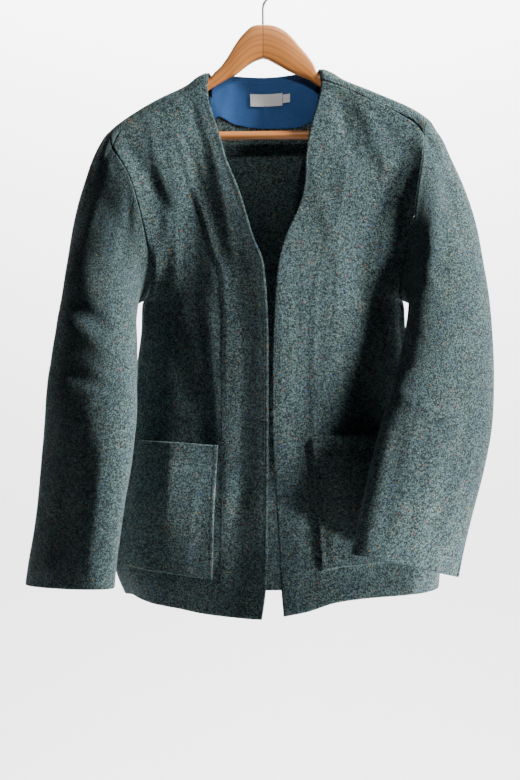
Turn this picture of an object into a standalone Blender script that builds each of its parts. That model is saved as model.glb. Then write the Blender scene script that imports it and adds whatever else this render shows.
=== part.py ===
"""Open tweed jacket without a collar, on a wooden hanger with a metal hook.

Metres, Z up, X to the right as seen from the front, Y away from the viewer. The origin is the inside
top of the hook, where a rail carries the hanger. Left and right are as seen from the front.
The tables are in millimetres: across is X, drop is the height below the origin, and depth is Y.
"""
import math
from collections import namedtuple

import bmesh
import bpy
from mathutils import Vector

MM = 0.001
SIDES = ("left", "right")

# Walls and gaps
TWEED = 2.0
COTTON = 1.0
WOVEN = 1.0
SEAM_GAP = 0.3
ARMHOLE_GAP = 0.4
UNDERARM_TURN = 70.0
LINING_GAP = 0.5

# How finely the cloth is cut into rows and columns
FRONT_COLUMNS = 10
NECK_COLUMNS = 6
TURN_COLUMNS = 3
RIDGE_ROWS = 5
ARM_ROWS = 11
HEM_ROWS = 10
NARROWEST = 0.15
SEARCHES = 30

# Shoulders: cloth over the hanger
NECK = {"left": -75.0, "right": 78.0}
RIDGE_RADIUS = 10.5
SHOULDER_FALL = 130.0
NECK_RISE = 60.0
NECK_FLAT = 60.0
NECK_ROW = 2.4
TURN_STEP = 2.4
ROUNDNESS = 2.6

Ridge = namedtuple("Ridge", "across drop")
RIDGE = [
    Ridge(-209, 222), Ridge(-195, 209), Ridge(-165, 188), Ridge(-135, 171), Ridge(-104, 156.5),
    Ridge(-75, 138.5), Ridge(0, 137), Ridge(78, 133.5), Ridge(109, 148.5), Ridge(128, 156),
    Ridge(160, 169), Ridge(190, 182), Ridge(211, 194), Ridge(222, 203),
]
Seam = namedtuple("Seam", "across drop")
SHOULDER_SEAM = {
    "left": [Seam(-198, 239), Seam(-193, 226), Seam(-184, 213), Seam(-161, 198), Seam(-135, 185),
             Seam(-109, 170), Seam(-75, 154)],
    "right": [Seam(78, 149), Seam(116, 163), Seam(137, 174), Seam(163, 185), Seam(189, 200),
              Seam(206, 212), Seam(211, 222)],
}
Neckline = namedtuple("Neckline", "across drop")
BACK_NECK = [Neckline(-66, 139.5), Neckline(0, 142.5), Neckline(69, 135.5)]

# Front edges, from the shoulder seam down the V and on to the hem
Edge = namedtuple("Edge", "drop across")
FRONT_EDGE = {
    "left": [Edge(139, -75.2), Edge(165, -73.6), Edge(181, -69.6), Edge(199, -64.2), Edge(228, -55),
             Edge(261, -45.7), Edge(297, -31.3), Edge(340, -18.2), Edge(368, -9.1), Edge(392, 0.5),
             Edge(438, 5), Edge(492, 7), Edge(616, 7), Edge(738, 6), Edge(813, 4), Edge(851, -1.4)],
    "right": [Edge(133, 77.8), Edge(156, 77.6), Edge(181, 70.9), Edge(215, 61.5), Edge(251, 55.5),
              Edge(286, 54), Edge(316, 46.7), Edge(347, 33.7), Edge(370, 24.6), Edge(392, 19.4),
              Edge(427, 15.4), Edge(477, 12.8), Edge(518, 11.5), Edge(616, 11), Edge(665, 14),
              Edge(738, 19), Edge(812, 23), Edge(847, 26)],
}

# Body: where the side seams hang, the middle, and how far front and back stand from the hanger
Body = namedtuple("Body", "drop left right middle front back")
BODY = [
    Body(130, -209, 222, 2, 11, 17),
    Body(180, -209, 222, 3, 16, 20),
    Body(250, -196, 214, 6, 26, 28),
    Body(330, -180, 204, 9, 40, 38),
    Body(440, -158, 185, 13, 52, 49),
    Body(520, -166, 196, 15, 58, 56),
    Body(600, -178, 211, 16, 63, 62),
    Body(735, -196, 230, 17, 69, 69),
    Body(790, -196, 234, 17, 73, 72),
    Body(830, -180, 230, 18, 76, 74),
]
Hem = namedtuple("Hem", "across drop")
FRONT_HEM = {
    "left": [Hem(-181, 826), Hem(-171, 829), Hem(-143, 835.5), Hem(-118, 838), Hem(-69, 845.7),
             Hem(-20, 850), Hem(0, 851)],
    "right": [Hem(20, 848), Hem(69, 838), Hem(88, 831), Hem(131, 825), Hem(207, 820.5),
              Hem(231, 817)],
}
BACK_HEM = [Hem(-181, 826), Hem(-60, 829), Hem(60, 829), Hem(231, 817)]

# Armholes: angle 0 is the top of the shoulder and 180 the underarm, front and back
UNDERARM = 440.0
SEAM_ANGLE = 30.0
RIDGE_ANGLES = (30.0, 20.0, 10.0, 0.0, 12.0, 28.0)
SCYE_DEPTH = {"front": 42.0, "back": 34.0}
Scye = namedtuple("Scye", "angle front back")
ARMHOLE = {
    "left": [Scye(0, -209, -209), Scye(30, -198, -201), Scye(63, -172, -188), Scye(106, -152, -176),
             Scye(128, -146, -167), Scye(155, -150, -161), Scye(180, -158, -158)],
    "right": [Scye(0, 222, 222), Scye(31, 211, 216), Scye(49, 209, 211), Scye(78, 201, 205),
              Scye(113, 190, 198), Scye(130, 183, 193), Scye(155, 179, 187), Scye(180, 185, 185)],
}

# Soft folds of the body: height outwards is above zero, a trough is below it
Fold = namedtuple("Fold", "face across lean top bottom width height")
FOLDS = [
    Fold("front", -122, 0.02, 185, 420, 17, 7),
    Fold("front", -86, -0.04, 165, 470, 16, -6),
    Fold("front", -54, 0.0, 330, 850, 14, 3),
    Fold("front", 112, 0.12, 150, 290, 18, -5),
    Fold("front", 158, 0.0, 180, 330, 20, 4),
    Fold("front", 96, 0.03, 480, 850, 34, 5),
    Fold("front", -130, -0.03, 560, 850, 36, 4),
    Fold("back", -92, 0.05, 230, 840, 30, 7),
    Fold("back", -18, -0.02, 330, 840, 26, -6),
    Fold("back", 70, 0.04, 250, 840, 30, 7),
    Fold("back", 140, 0.02, 380, 830, 24, -5),
]

# Sleeve sections from the armhole to the cuff: the outer and the inner end of each, and half its
# thickness. Yaw turns the front face inwards, and twist brings the seam round from behind the arm.
Section = namedtuple(
    "Section", "place outer_x outer_y outer_drop inner_x inner_y inner_drop half yaw twist")
SLEEVE = {
    "left": [
        Section(0, -209, 0, 222, -158, 0, 440, 42, 20, 0),
        Section(1, -226, -4, 254, -174, -5, 452, 44, 30, 2),
        Section(2, -236, -10, 294, -175, -20, 470, 43, 38, 5),
        Section(3, -247, -17, 345, -168, -42, 500, 42, 32, 9),
        Section(4, -258, -25, 400, -162, -66, 536, 40, 12, 14),
        Section(5, -267, -33, 470, -161, -92, 580, 38, -10, 20),
        Section(6, -275, -40, 540, -165, -110, 618, 37, -26, 26),
        Section(7, -278, -46, 604, -170, -120, 655, 36, -33, 32),
        Section(8, -282, -50, 664, -177, -126, 695, 35, -35, 36),
        Section(9, -288, -54, 725, -183, -128, 738, 35, -35, 40),
        Section(10, -297, -58, 774, -188, -130, 778, 36, -34, 43),
        Section(11, -302, -60, 806, -190, -131, 806, 36, -33, 45),
    ],
    "right": [
        Section(0, 222, 0, 203, 185, 0, 440, 42, 20, 0),
        Section(1, 243, -4, 241, 200, -5, 450, 44, 30, 2),
        Section(2, 260, -11, 284, 198, -20, 468, 43, 38, 5),
        Section(3, 277, -21, 340, 187, -42, 496, 42, 32, 9),
        Section(4, 289, -32, 400, 172, -66, 530, 38, 14, 14),
        Section(5, 297, -42, 470, 158, -90, 572, 34, -4, 20),
        Section(6, 298, -50, 540, 147, -107, 610, 32, -16, 26),
        Section(7, 294, -57, 608, 137, -117, 646, 31, -21, 32),
        Section(8, 283, -62, 662, 129, -122, 682, 30, -22, 37),
        Section(9, 266, -67, 725, 120, -126, 720, 29, -22, 42),
        Section(10, 255, -71, 771, 113, -128, 752, 28, -22, 46),
        Section(11, 250, -73, 797, 110, -129, 763, 27, -22, 48),
    ],
}
SLEEVE_RINGS = (0, 0.6, 1.2, 1.8, 2.4, 3.1, 3.8, 4.5, 5.2, 6, 7, 8, 9, 10, 11)
ARMHOLE_FADE = 3.0
SLEEVE_REST = 5.0
BODY_CORNER = 0.75
BODY_FRONT = 30.0
VENT = {"left": 5.0, "right": 9.0}
VENT_PLACE = 9.0

# Patch pockets, in rows and columns of the front: how far each corner lies from the edges
POCKET_WALL = 2.6
POCKET_GAPE = 9.0
POCKET_LIFT = 0.1
POCKET_FADE = 40.0
POCKET_REACH = 20.0
Pocket = namedtuple("Pocket", "inner outer mouth foot")
POCKET = {
    "left": Pocket(-62.8, -177.5, 624, 793.5),
    "right": Pocket(68.8, 200.0, 614, 781.5),
}

# Facing, label and tab inside the back neck
FACING_LOWER = [Neckline(-78, 186), Neckline(-50, 202), Neckline(0, 209), Neckline(40, 208),
                Neckline(82, 196)]
FACING_START = 0.25
FACING_ROWS = 8
LABEL = {"neck_label": (-17.0, 26.0, 164.0, 180.0), "size_tab": (26.6, 36.0, 164.0, 175.0)}

# Hanger
WOOD = 12.4
WOOD_EDGE = 5.8
WOOD_UNDER_CLOTH = TWEED + 1.3
Arm = namedtuple("Arm", "across top under")
ARM_HEAD = {
    "left": [Arm(-0.15, 75, 120), Arm(-8, 75, 122.5), Arm(-16.6, 77.8, 127), Arm(-22.4, 83, 131),
             Arm(-30, 91, 137), Arm(-37, 101, 142), Arm(-46, 116, 146.5), Arm(-55.4, 129, 152),
             Arm(-64, 137.5, 157), Arm(-70.5, 144.5, 161)],
    "right": [Arm(0.15, 75, 120), Arm(8, 75, 122.5), Arm(14.5, 76, 126), Arm(22, 79, 130),
              Arm(29, 83, 134), Arm(38, 91, 138.5), Arm(49, 104, 143), Arm(59.5, 116, 147.5),
              Arm(67, 127, 152), Arm(74, 139.8, 156.5)],
}
ARM_REACH = {"left": -192.0, "right": 196.0}
ARM_HEIGHT = 25.0
ARM_STEP = 14.0
ARM_FACE_HEIGHT = 20.0
ARM_FACE_SLANT = 0.4
BAR_RADIUS = 6.0
BAR_DROP = {"left": 223.0, "right": 219.0}
BAR_FACE = {"left": -170.0, "right": 174.0}
BAR_COVER = 8.0

# Hook: wire bent round a rail
WIRE_RADIUS = 1.6
HOOK_RADIUS = 19.0
HOOK_START = -52.0
HOOK_END = 205.0
HOOK_STEPS = 22
Neck = namedtuple("Neck", "across drop")
HOOK_NECK = [Neck(0, 74.7), Neck(0, 62), Neck(0, 52), Neck(1.2, 47), Neck(4.4, 42.3), Neck(8.6, 38.6)]

COLOURS = {
    "tweed": (0.060, 0.105, 0.105, 1.0),
    "cotton": (0.030, 0.150, 0.420, 1.0),
    "label": (0.800, 0.820, 0.830, 1.0),
    "wood": (0.520, 0.230, 0.075, 1.0),
    "steel": (0.420, 0.420, 0.430, 1.0),
}
ROUGHNESS = {"tweed": 0.9, "cotton": 0.85, "label": 0.7, "wood": 0.35, "steel": 0.3}


# Reading tables and blending

def read(table, place, column):
    """A column of a table, on a smooth curve along its first column that never overshoots."""
    at = [row[0] for row in table]
    values = [getattr(row, column) for row in table]
    if place <= at[0]:
        return values[0]
    if place >= at[-1]:
        return values[-1]
    rises = [(b - a) / (q - p) for a, b, p, q in zip(values, values[1:], at, at[1:])]
    slopes = [rises[0]]
    for before, after in zip(rises, rises[1:]):
        steady = before * after > 0
        slopes.append(2 * before * after / (before + after) if steady else 0.0)
    slopes.append(rises[-1])
    step = max(i for i in range(len(at) - 1) if at[i] <= place)
    span = at[step + 1] - at[step]
    t = (place - at[step]) / span
    keep = (1 + 2 * t) * (1 - t) ** 2
    lead = t * (1 - t) ** 2 * span
    reach = t * t * (3 - 2 * t)
    trail = t * t * (t - 1) * span
    return (keep * values[step] + lead * slopes[step]
            + reach * values[step + 1] + trail * slopes[step + 1])


def mix(a, b, share):
    """The value between a and b."""
    return a + (b - a) * share


def ease(t):
    """Nought to one, slow at both ends."""
    t = min(max(t, 0.0), 1.0)
    return t * t * (3 - 2 * t)


def place(across, depth, drop):
    """A point of the garment."""
    return Vector((across, depth, -drop))


# The body's form

def ridge(across):
    """Drop of the line over the hanger, which rises out of the way inside the neck."""
    drop = read(RIDGE, across, "drop")
    if abs(across) < NECK_FLAT:
        drop -= NECK_RISE * (1 - (across / NECK_FLAT) ** 2)
    return drop


def folds(face, across, drop):
    """Height of the soft folds at a place on the front or the back."""
    height = 0.0
    for fold in FOLDS:
        if fold.face == face and fold.top < drop < fold.bottom:
            line = fold.across + fold.lean * (drop - fold.top)
            along = (drop - fold.top) / (fold.bottom - fold.top)
            swell = ease(along * 3) * ease((1 - along) * 5)
            height += fold.height * swell * math.exp(-((across - line) / fold.width) ** 2)
    return height


def body_depth(face, across, drop, side_depth, share):
    """Distance from the hanger's plane, rounded in towards the side seam or the armhole."""
    fall = ease((drop - ridge(across)) / SHOULDER_FALL)
    full = mix(RIDGE_RADIUS, read(BODY, drop, face), fall)
    round_off = max(0.0, 1 - abs(share) ** ROUNDNESS) ** (1 / ROUNDNESS)
    calm = 1 - abs(share) ** 6
    return mix(side_depth, full, round_off) + folds(face, across, drop) * calm


def armhole(side, face, angle):
    """Point of the armhole seam at an angle from the top of the shoulder."""
    top = read(RIDGE, ARMHOLE[side][0].front, "drop")
    half = (UNDERARM - top) / 2
    turn = math.radians(angle)
    depth = SCYE_DEPTH[face] * math.sin(turn)
    return (read(ARMHOLE[side], angle, face), depth, top + half * (1 - math.cos(turn)))


def hem_side(side):
    """Drop of the hem at the side seam."""
    row = FRONT_HEM[side][0] if side == "left" else FRONT_HEM[side][-1]
    return row.drop


def front_panel(side):
    """Points of a front, rows from the shoulder seam to the hem, columns from the front edge."""
    neck_drop = read(SHOULDER_SEAM[side], NECK[side], "drop")
    hem_edge = FRONT_HEM[side][-1 if side == "left" else 0].drop
    rows = []
    bows = []
    for row in range(ARM_ROWS + HEM_ROWS + 1):
        above = min(row / ARM_ROWS, 1.0)
        below = max(0.0, (row - ARM_ROWS) / HEM_ROWS)
        side_x, side_depth, side_drop = armhole(side, "front", mix(SEAM_ANGLE, 180, above))
        edge_drop = mix(neck_drop, UNDERARM, above)
        if below:
            edge_drop = mix(UNDERARM, hem_edge, below)
            side_drop = mix(UNDERARM, hem_side(side), below)
            side_x, side_depth = read(BODY, side_drop, side), 0.0
        edge_x = read(FRONT_EDGE[side], edge_drop, "across")
        hem_x = read(FRONT_EDGE[side], hem_edge, "across")
        hem_end = read(BODY, hem_side(side), side)
        points = []
        for column in range(FRONT_COLUMNS + 1):
            even = column / FRONT_COLUMNS
            share = mix(even, math.sin(even * math.pi / 2), ease(above))
            across = mix(edge_x, side_x, share)
            drop = mix(edge_drop, side_drop, share)
            if row == 0:
                bows.append(read(SHOULDER_SEAM[side], across, "drop") - drop)
            drop += bows[column] * (1 - above) ** 2
            if below and column < FRONT_COLUMNS:
                hem = read(FRONT_HEM[side], mix(hem_x, hem_end, share), "drop")
                drop = mix(UNDERARM, hem, below)
            middle = read(BODY, drop, "middle")
            reach = (across - middle) / (side_x - middle)
            depth = body_depth("front", across, drop, side_depth, reach)
            points.append(place(across, -depth, drop))
        rows.append(points)
    return rows


def over_ridge(side, seam_point, share, row):
    """Point of a row of the back where it turns over the hanger from the shoulder seam."""
    face = "front" if row < 3 else "back"
    arm_x, arm_depth, arm_drop = armhole(side, face, RIDGE_ANGLES[row])
    arm_depth = -arm_depth if face == "front" else arm_depth
    tip_x = armhole(side, "front", SEAM_ANGLE)[0]
    loose = ease((share - 0.6) / 0.4)
    across = seam_point.x + (arm_x - tip_x) * loose
    turn = math.radians(45 * (row - 3))
    depth = RIDGE_RADIUS * math.sin(turn)
    arm_top = armhole(side, "front", 0)[2]
    drop = mix(RIDGE_RADIUS * (1 - math.cos(turn)), arm_drop - arm_top, loose)
    return place(across, mix(depth, arm_depth, loose), ridge(across) + drop)


def neck_turn(side, step, row):
    """Point of a column of the back beside the neck, which starts part way over the hanger."""
    start = math.radians(45 * (step - 2)) * RIDGE_RADIUS
    quarter = math.pi / 2 * RIDGE_RADIUS
    end = quarter + step * NECK_ROW
    run = mix(start, end, row / RIDGE_ROWS)
    inward = 1 if side == "left" else -1
    across = NECK[side] + inward * step * TURN_STEP
    if run < quarter:
        turn = run / RIDGE_RADIUS
        drop = ridge(across) + RIDGE_RADIUS * (1 - math.cos(turn))
        return place(across, RIDGE_RADIUS * math.sin(turn), drop)
    drop = ridge(across) + RIDGE_RADIUS + run - quarter
    return place(across, body_depth("back", across, drop, 0.0, 0.0), drop)


def back_top(fronts):
    """The back's rows over the hanger, columns from the left armhole to the right one."""
    rows = []
    for row in range(RIDGE_ROWS + 1):
        parts = {}
        for side in SIDES:
            seam = fronts[side][0]
            run = []
            for column, point in enumerate(seam):
                share = column / FRONT_COLUMNS
                run.append(point.copy() if row == 0 else over_ridge(side, point, share, row))
            turns = [neck_turn(side, step, row) for step in range(1, TURN_COLUMNS + 1)]
            parts[side] = list(reversed(run)) + turns
        neck = []
        for column in range(NECK_COLUMNS + 1):
            across = mix(BACK_NECK[0].across, BACK_NECK[-1].across, column / NECK_COLUMNS)
            drop = read(BACK_NECK, across, "drop") + row * NECK_ROW
            neck.append(place(across, body_depth("back", across, drop, 0.0, 0.0), drop))
        rows.append(parts["left"] + neck + list(reversed(parts["right"])))
    return rows


def back_panel(fronts):
    """Points of the back, rows from the shoulder seams over the hanger to the hem."""
    rows = back_top(fronts)
    top = rows[-1]
    columns = len(top) - 1
    first_angle = RIDGE_ANGLES[-1]
    for row in range(1, ARM_ROWS + HEM_ROWS + 1):
        above = min(row / ARM_ROWS, 1.0)
        below = max(0.0, (row - ARM_ROWS) / HEM_ROWS)
        points = []
        for column in range(columns + 1):
            side = "left" if column * 2 < columns else "right"
            start_x, _, start_drop = armhole(side, "back", first_angle)
            side_x, side_depth, side_drop = armhole(side, "back", mix(first_angle, 180, above))
            even = math.sin(math.pi * (column / columns - 0.5))
            middle = read(BODY, top[column].z * -1, "middle")
            first = (top[column].x - middle) / abs(start_x - middle)
            share = mix(first, even, ease(above))
            level = mix(above, (side_drop - start_drop) / (UNDERARM - start_drop), share * share)
            drop = mix(-top[column].z, UNDERARM, level)
            if below:
                side_drop = mix(UNDERARM, hem_side(side), below)
                side_x, side_depth = read(BODY, side_drop, side), 0.0
                drop = UNDERARM
            middle = read(BODY, drop, "middle")
            if below:
                middle = read(BODY, side_drop, "middle")
                hem_middle = read(BODY, hem_side(side), "middle")
                hem_x = hem_middle + abs(read(BODY, hem_side(side), side) - hem_middle) * share
                at_side = column in (0, columns)
                hem = hem_side(side) if at_side else read(BACK_HEM, hem_x, "drop")
                drop = mix(UNDERARM, hem, below)
            across = middle + abs(side_x - middle) * share
            depth = body_depth("back", across, drop, side_depth, share)
            points.append(place(across, depth, drop))
        rows.append(points)
    return rows


# Sleeves

def sleeve_ellipse(side, at, angle):
    """Point of the plain oval section at a place down the sleeve."""
    def column(name):
        return read(SLEEVE[side], at, name)
    outer = place(column("outer_x"), column("outer_y"), column("outer_drop"))
    inner = place(column("inner_x"), column("inner_y"), column("inner_drop"))
    centre = (outer + inner) / 2
    reach = (outer - inner) / 2
    yaw = math.radians(column("yaw"))
    inward = 1 if side == "left" else -1
    forward = Vector((inward * math.sin(yaw), -math.cos(yaw), 0))
    turn = math.radians(angle + column("twist"))
    return centre + reach * math.cos(turn) + forward * column("half") * math.sin(turn)


def sleeve_loop(side, fronts, back):
    """The armhole seam as angles and points: over the top, down the front and up the back."""
    last = -1 if side == "right" else 0
    edge = [row[last] for row in back]
    front = [row[-1] for row in fronts[side]]
    angles = []
    points = []
    for row in range(RIDGE_ROWS, 0, -1):
        angles.append(-RIDGE_ANGLES[row] if row > 3 else RIDGE_ANGLES[row])
        points.append(edge[row])
    for row in range(ARM_ROWS + 1):
        angles.append(mix(SEAM_ANGLE, 180, row / ARM_ROWS))
        points.append(front[row])
    for row in range(ARM_ROWS - 1, -1, -1):
        angles.append(-mix(RIDGE_ANGLES[-1], 180, row / ARM_ROWS) + 360)
        points.append(edge[RIDGE_ROWS + row])
    return angles, points


def within_body(side, point):
    """Whether a point lies in the body, or closer to it than the sleeve rests."""
    drop = -point.z
    face = "front" if point.y < 0 else "back"
    side_depth = 0.0
    side_x = read(BODY, drop, side)
    if drop < UNDERARM:
        side_x, side_depth, _ = armhole(side, face, scye_angle(side, drop))
    middle = read(BODY, drop, "middle")
    reach = abs(side_x - middle) + (SLEEVE_REST if drop >= UNDERARM else 0)
    share = abs(point.x - middle) / reach
    if share >= 1:
        return False
    depth = body_depth(face, point.x, drop, side_depth, share) + SLEEVE_REST
    return abs(point.y) < depth + pocket_height(side, point.x, drop)


def clear_of_body(side, point):
    """A sleeve's point moved out to where the sleeve rests against the body, if it lies within."""
    drop = -point.z
    middle = read(BODY, drop, "middle")
    pivot = middle + (read(BODY, drop, side) - middle) * BODY_CORNER
    away = Vector((point.x - pivot, point.y, 0))
    if away.x * (pivot - middle) < 0 or point.y < -BODY_FRONT:
        away = Vector((0, -1, 0))
    step = away.normalized()
    while within_body(side, point):
        point = point + step
    return point


def scye_angle(side, drop):
    """Angle round the armhole at a given drop."""
    top = read(RIDGE, ARMHOLE[side][0].front, "drop")
    half = (UNDERARM - top) / 2
    return math.degrees(math.acos(max(-1.0, min(1.0, 1 - (drop - top) / half))))


def pocket_height(side, across, drop):
    """How far the pocket stands out under the sleeve."""
    cut = POCKET[side]
    below = ease((drop - cut.mouth + POCKET_FADE) / POCKET_FADE)
    above = ease((cut.foot + POCKET_FADE - drop) / POCKET_FADE)
    beside = abs(across) > abs(cut.inner) - POCKET_REACH
    return (POCKET_WALL + POCKET_GAPE) * below * above if beside else 0.0


def sleeve(side, fronts, back):
    """Rings of a sleeve from the armhole to the cuff, as the top piece and the under piece."""
    angles, seam = sleeve_loop(side, fronts, back)
    own = [point - sleeve_ellipse(side, 0, angle) for angle, point in zip(angles, seam)]
    rings = []
    for at in SLEEVE_RINGS:
        keep = 1 - ease(at / ARMHOLE_FADE)
        ring = [sleeve_ellipse(side, at, angle) + rest * keep for angle, rest in zip(angles, own)]
        rings.append([clear_of_body(side, point) for point in ring] if at > 0 else ring)
    half = RIDGE_ROWS + ARM_ROWS
    top = [ring[:half + 1] for ring in rings]
    under = [ring[half:] for ring in rings]
    for ring, at in enumerate(SLEEVE_RINGS):
        open_by = VENT[side] / 2 * ease((at - VENT_PLACE) / (SLEEVE_RINGS[-1] - VENT_PLACE))
        top[ring][0] = slide(top[ring][0], top[ring][1], open_by)
        under[ring][-1] = slide(under[ring][-1], under[ring][-2], open_by)
    return top, under


def slide(point, towards, distance):
    """A point moved towards its neighbour."""
    step = towards - point
    return point + step.normalized() * min(distance, step.length * 0.8)


# Walls

def key(point):
    """A name for a point that panels share at a seam."""
    return tuple(round(value, 2) for value in point)


def seam_normals(panels):
    """Outward direction at every point, shared by the panels that meet there."""
    sums = {}
    for rows, outward in panels:
        for row in range(len(rows) - 1):
            for column in range(len(rows[0]) - 1):
                corners = (rows[row][column], rows[row][column + 1],
                           rows[row + 1][column + 1], rows[row + 1][column])
                face = (corners[2] - corners[0]).cross(corners[3] - corners[1]) * outward
                if face.length > 0:
                    for corner in corners:
                        total = sums.setdefault(key(corner), Vector((0, 0, 0)))
                        total += face.normalized()
    return {name: total.normalized() for name, total in sums.items()}


def meet_at_armhole(side, body, arm, fronts, back):
    """Directions in which the walls of body and sleeve meet at the armhole seam.

    They share one direction, away from the armhole's centre, but at the underarm, where the two
    walls lie face to face, each keeps its own.
    """
    angles, points = sleeve_loop(side, fronts, back)
    centre = sum(points, Vector((0, 0, 0))) / len(points)
    for angle, point in zip(angles, points):
        name = key(point)
        away = point - centre
        away.x = 0
        shared = (body[name] + arm[name]) * 0.4 + away.normalized()
        own = ease((UNDERARM_TURN - abs(angle - 180)) / UNDERARM_TURN * 2)
        body[name], arm[name] = (
            (shared.normalized() * (1 - own) + normals[name] * own).normalized()
            for normals in (body, arm))


def tucked(rows, gaps):
    """Points with their edges drawn in, so that pieces stay apart at seams.

    The gaps are for the first row, last row, first column and last column.
    """
    first_row, last_row, first_column, last_column = gaps
    moved = [[point.copy() for point in row] for row in rows]
    for column in range(len(rows[0])):
        moved[0][column] = slide(moved[0][column], moved[1][column], first_row)
        moved[-1][column] = slide(moved[-1][column], moved[-2][column], last_row)
    for row in moved:
        row[0] = slide(row[0], row[1], first_column)
        row[-1] = slide(row[-1], row[-2], last_column)
    return moved


def wall(name, outer, inner, material):
    """A closed wall between an outer and an inner sheet of points."""
    rows = len(outer) - 1
    columns = len(outer[0]) - 1
    bm = bmesh.new()
    bmesh.ops.create_grid(bm, x_segments=columns, y_segments=rows, size=1.0)
    row_of = bm.verts.layers.int.new("row")
    column_of = bm.verts.layers.int.new("column")
    for vert in bm.verts:
        vert[column_of] = round((vert.co.x + 1) / 2 * columns)
        vert[row_of] = round((vert.co.y + 1) / 2 * rows)
    extruded = bmesh.ops.extrude_face_region(bm, geom=bm.faces[:])
    lifted = {item for item in extruded["geom"] if isinstance(item, bmesh.types.BMVert)}
    for vert in bm.verts:
        sheet = inner if vert in lifted else outer
        vert.co = sheet[vert[row_of]][vert[column_of]] * MM
    bmesh.ops.recalc_face_normals(bm, faces=bm.faces[:])
    return finish(name, bm, material)


def cloth(name, rows, normals, gaps, thickness=TWEED, material="tweed", shift=(0, 0, 0)):
    """A panel of cloth, its outer face on the given points."""
    outer = tucked(rows, gaps)
    inner = []
    for moved, row in zip(outer, rows):
        inner.append([point - normals[key(old)] * thickness for point, old in zip(moved, row)])
    for sheet in (outer, inner):
        for column in range(len(rows[0])):
            sheet[0][column] = sheet[0][column] + Vector(shift)
    return wall(name, outer, inner, material)


def finish(name, bm, material):
    """The mesh as a named object, shaded smooth."""
    mesh = bpy.data.meshes.new(name)
    bm.to_mesh(mesh)
    bm.free()
    mesh.materials.append(MATERIALS[material])
    mesh.shade_smooth()
    mesh.set_sharp_from_angle(angle=math.radians(40))
    piece = bpy.data.objects.new(name, mesh)
    bpy.context.scene.collection.objects.link(piece)
    return piece


# Pieces that lie on a panel

def on_panel(rows, normals, row, column, out):
    """A point of a panel at a part row and column, moved out from it."""
    r = min(int(row), len(rows) - 2)
    c = min(int(column), len(rows[0]) - 2)
    down = row - r
    over = column - c
    point = Vector((0, 0, 0))
    normal = Vector((0, 0, 0))
    for i, along in ((0, 1 - down), (1, down)):
        for j, aside in ((0, 1 - over), (1, over)):
            corner = rows[r + i][c + j]
            point += corner * along * aside
            normal += normals[key(corner)] * along * aside
    return point + normal.normalized() * out


def find_column(rows, row, across):
    """The part column of a row where the panel is at a place across."""
    for column in range(len(rows[0]) - 1):
        here = on_row(rows, row, column).x
        there = on_row(rows, row, column + 1).x
        if min(here, there) <= across <= max(here, there) and here != there:
            return column + (across - here) / (there - here)
    return float(len(rows[0]) - 1)


def on_row(rows, row, column):
    """A panel's point at a part row and a whole column."""
    r = min(int(row), len(rows) - 2)
    return rows[r][column].lerp(rows[r + 1][column], row - r)


def find_row(rows, across, drop):
    """The part row of a panel whose point at a place across has a given drop."""
    low, high = 0.0, float(len(rows) - 1)
    for _ in range(SEARCHES):
        row = (low + high) / 2
        column = find_column(rows, row, across)
        c = min(int(column), len(rows[0]) - 2)
        point = on_row(rows, row, c).lerp(on_row(rows, row, c + 1), column - c)
        if -point.z < drop:
            low = row
        else:
            high = row
    return (low + high) / 2


def crossings(low, high):
    """Both ends and every whole number between, so that no patch bridges a fold of its panel."""
    inside = range(math.ceil(low + NARROWEST), math.floor(high - NARROWEST) + 1)
    return [low] + [float(value) for value in inside] + [high]


def pocket(side, rows, normals):
    """A patch pocket laid on the front, which gapes a little at its mouth."""
    cut = POCKET[side]
    across = (cut.inner + cut.outer) / 2
    mouth = find_row(rows, across, cut.mouth)
    foot = find_row(rows, across, cut.foot)
    levels = crossings(mouth, foot)
    inner_sheet = []
    outer_sheet = []
    middle = (mouth + foot) / 2
    first = find_column(rows, middle, cut.inner)
    last = find_column(rows, middle, cut.outer)
    for level in levels:
        down = (level - mouth) / (foot - mouth)
        lower = []
        upper = []
        for column in crossings(first, last):
            over = (column - first) / (last - first)
            gape = POCKET_GAPE * math.sin(math.pi * over) * (1 - down ** 2)
            out = SEAM_GAP + POCKET_LIFT + gape
            lower.append(on_panel(rows, normals, level, column, out))
            upper.append(on_panel(rows, normals, level, column, out + POCKET_WALL))
        inner_sheet.append(lower)
        outer_sheet.append(upper)
    return wall("pocket_" + side, outer_sheet, inner_sheet, "tweed")


def facing(rows, normals):
    """The cotton facing inside the back neck."""
    first = FRONT_COLUMNS + TURN_COLUMNS + 1
    depth = -(TWEED + LINING_GAP)
    upper = []
    lower = []
    for step in range(FACING_ROWS + 1):
        front = []
        back = []
        for column in range(first, len(rows[0]) - first):
            across = rows[RIDGE_ROWS][column].x
            end = find_row_at(rows, column, read(FACING_LOWER, across, "drop"))
            row = mix(FACING_START, end, step / FACING_ROWS)
            back.append(on_panel(rows, normals, row, column, depth))
            front.append(on_panel(rows, normals, row, column, depth - COTTON))
        upper.append(back)
        lower.append(front)
    return wall("neck_facing", upper, lower, "cotton")


def find_row_at(rows, column, drop):
    """The part row where a whole column has a given drop."""
    for row in range(1, len(rows) - 1):
        here = -rows[row][column].z
        there = -rows[row + 1][column].z
        if here <= drop <= there:
            return row + (drop - here) / (there - here)
    return 0.0


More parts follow.
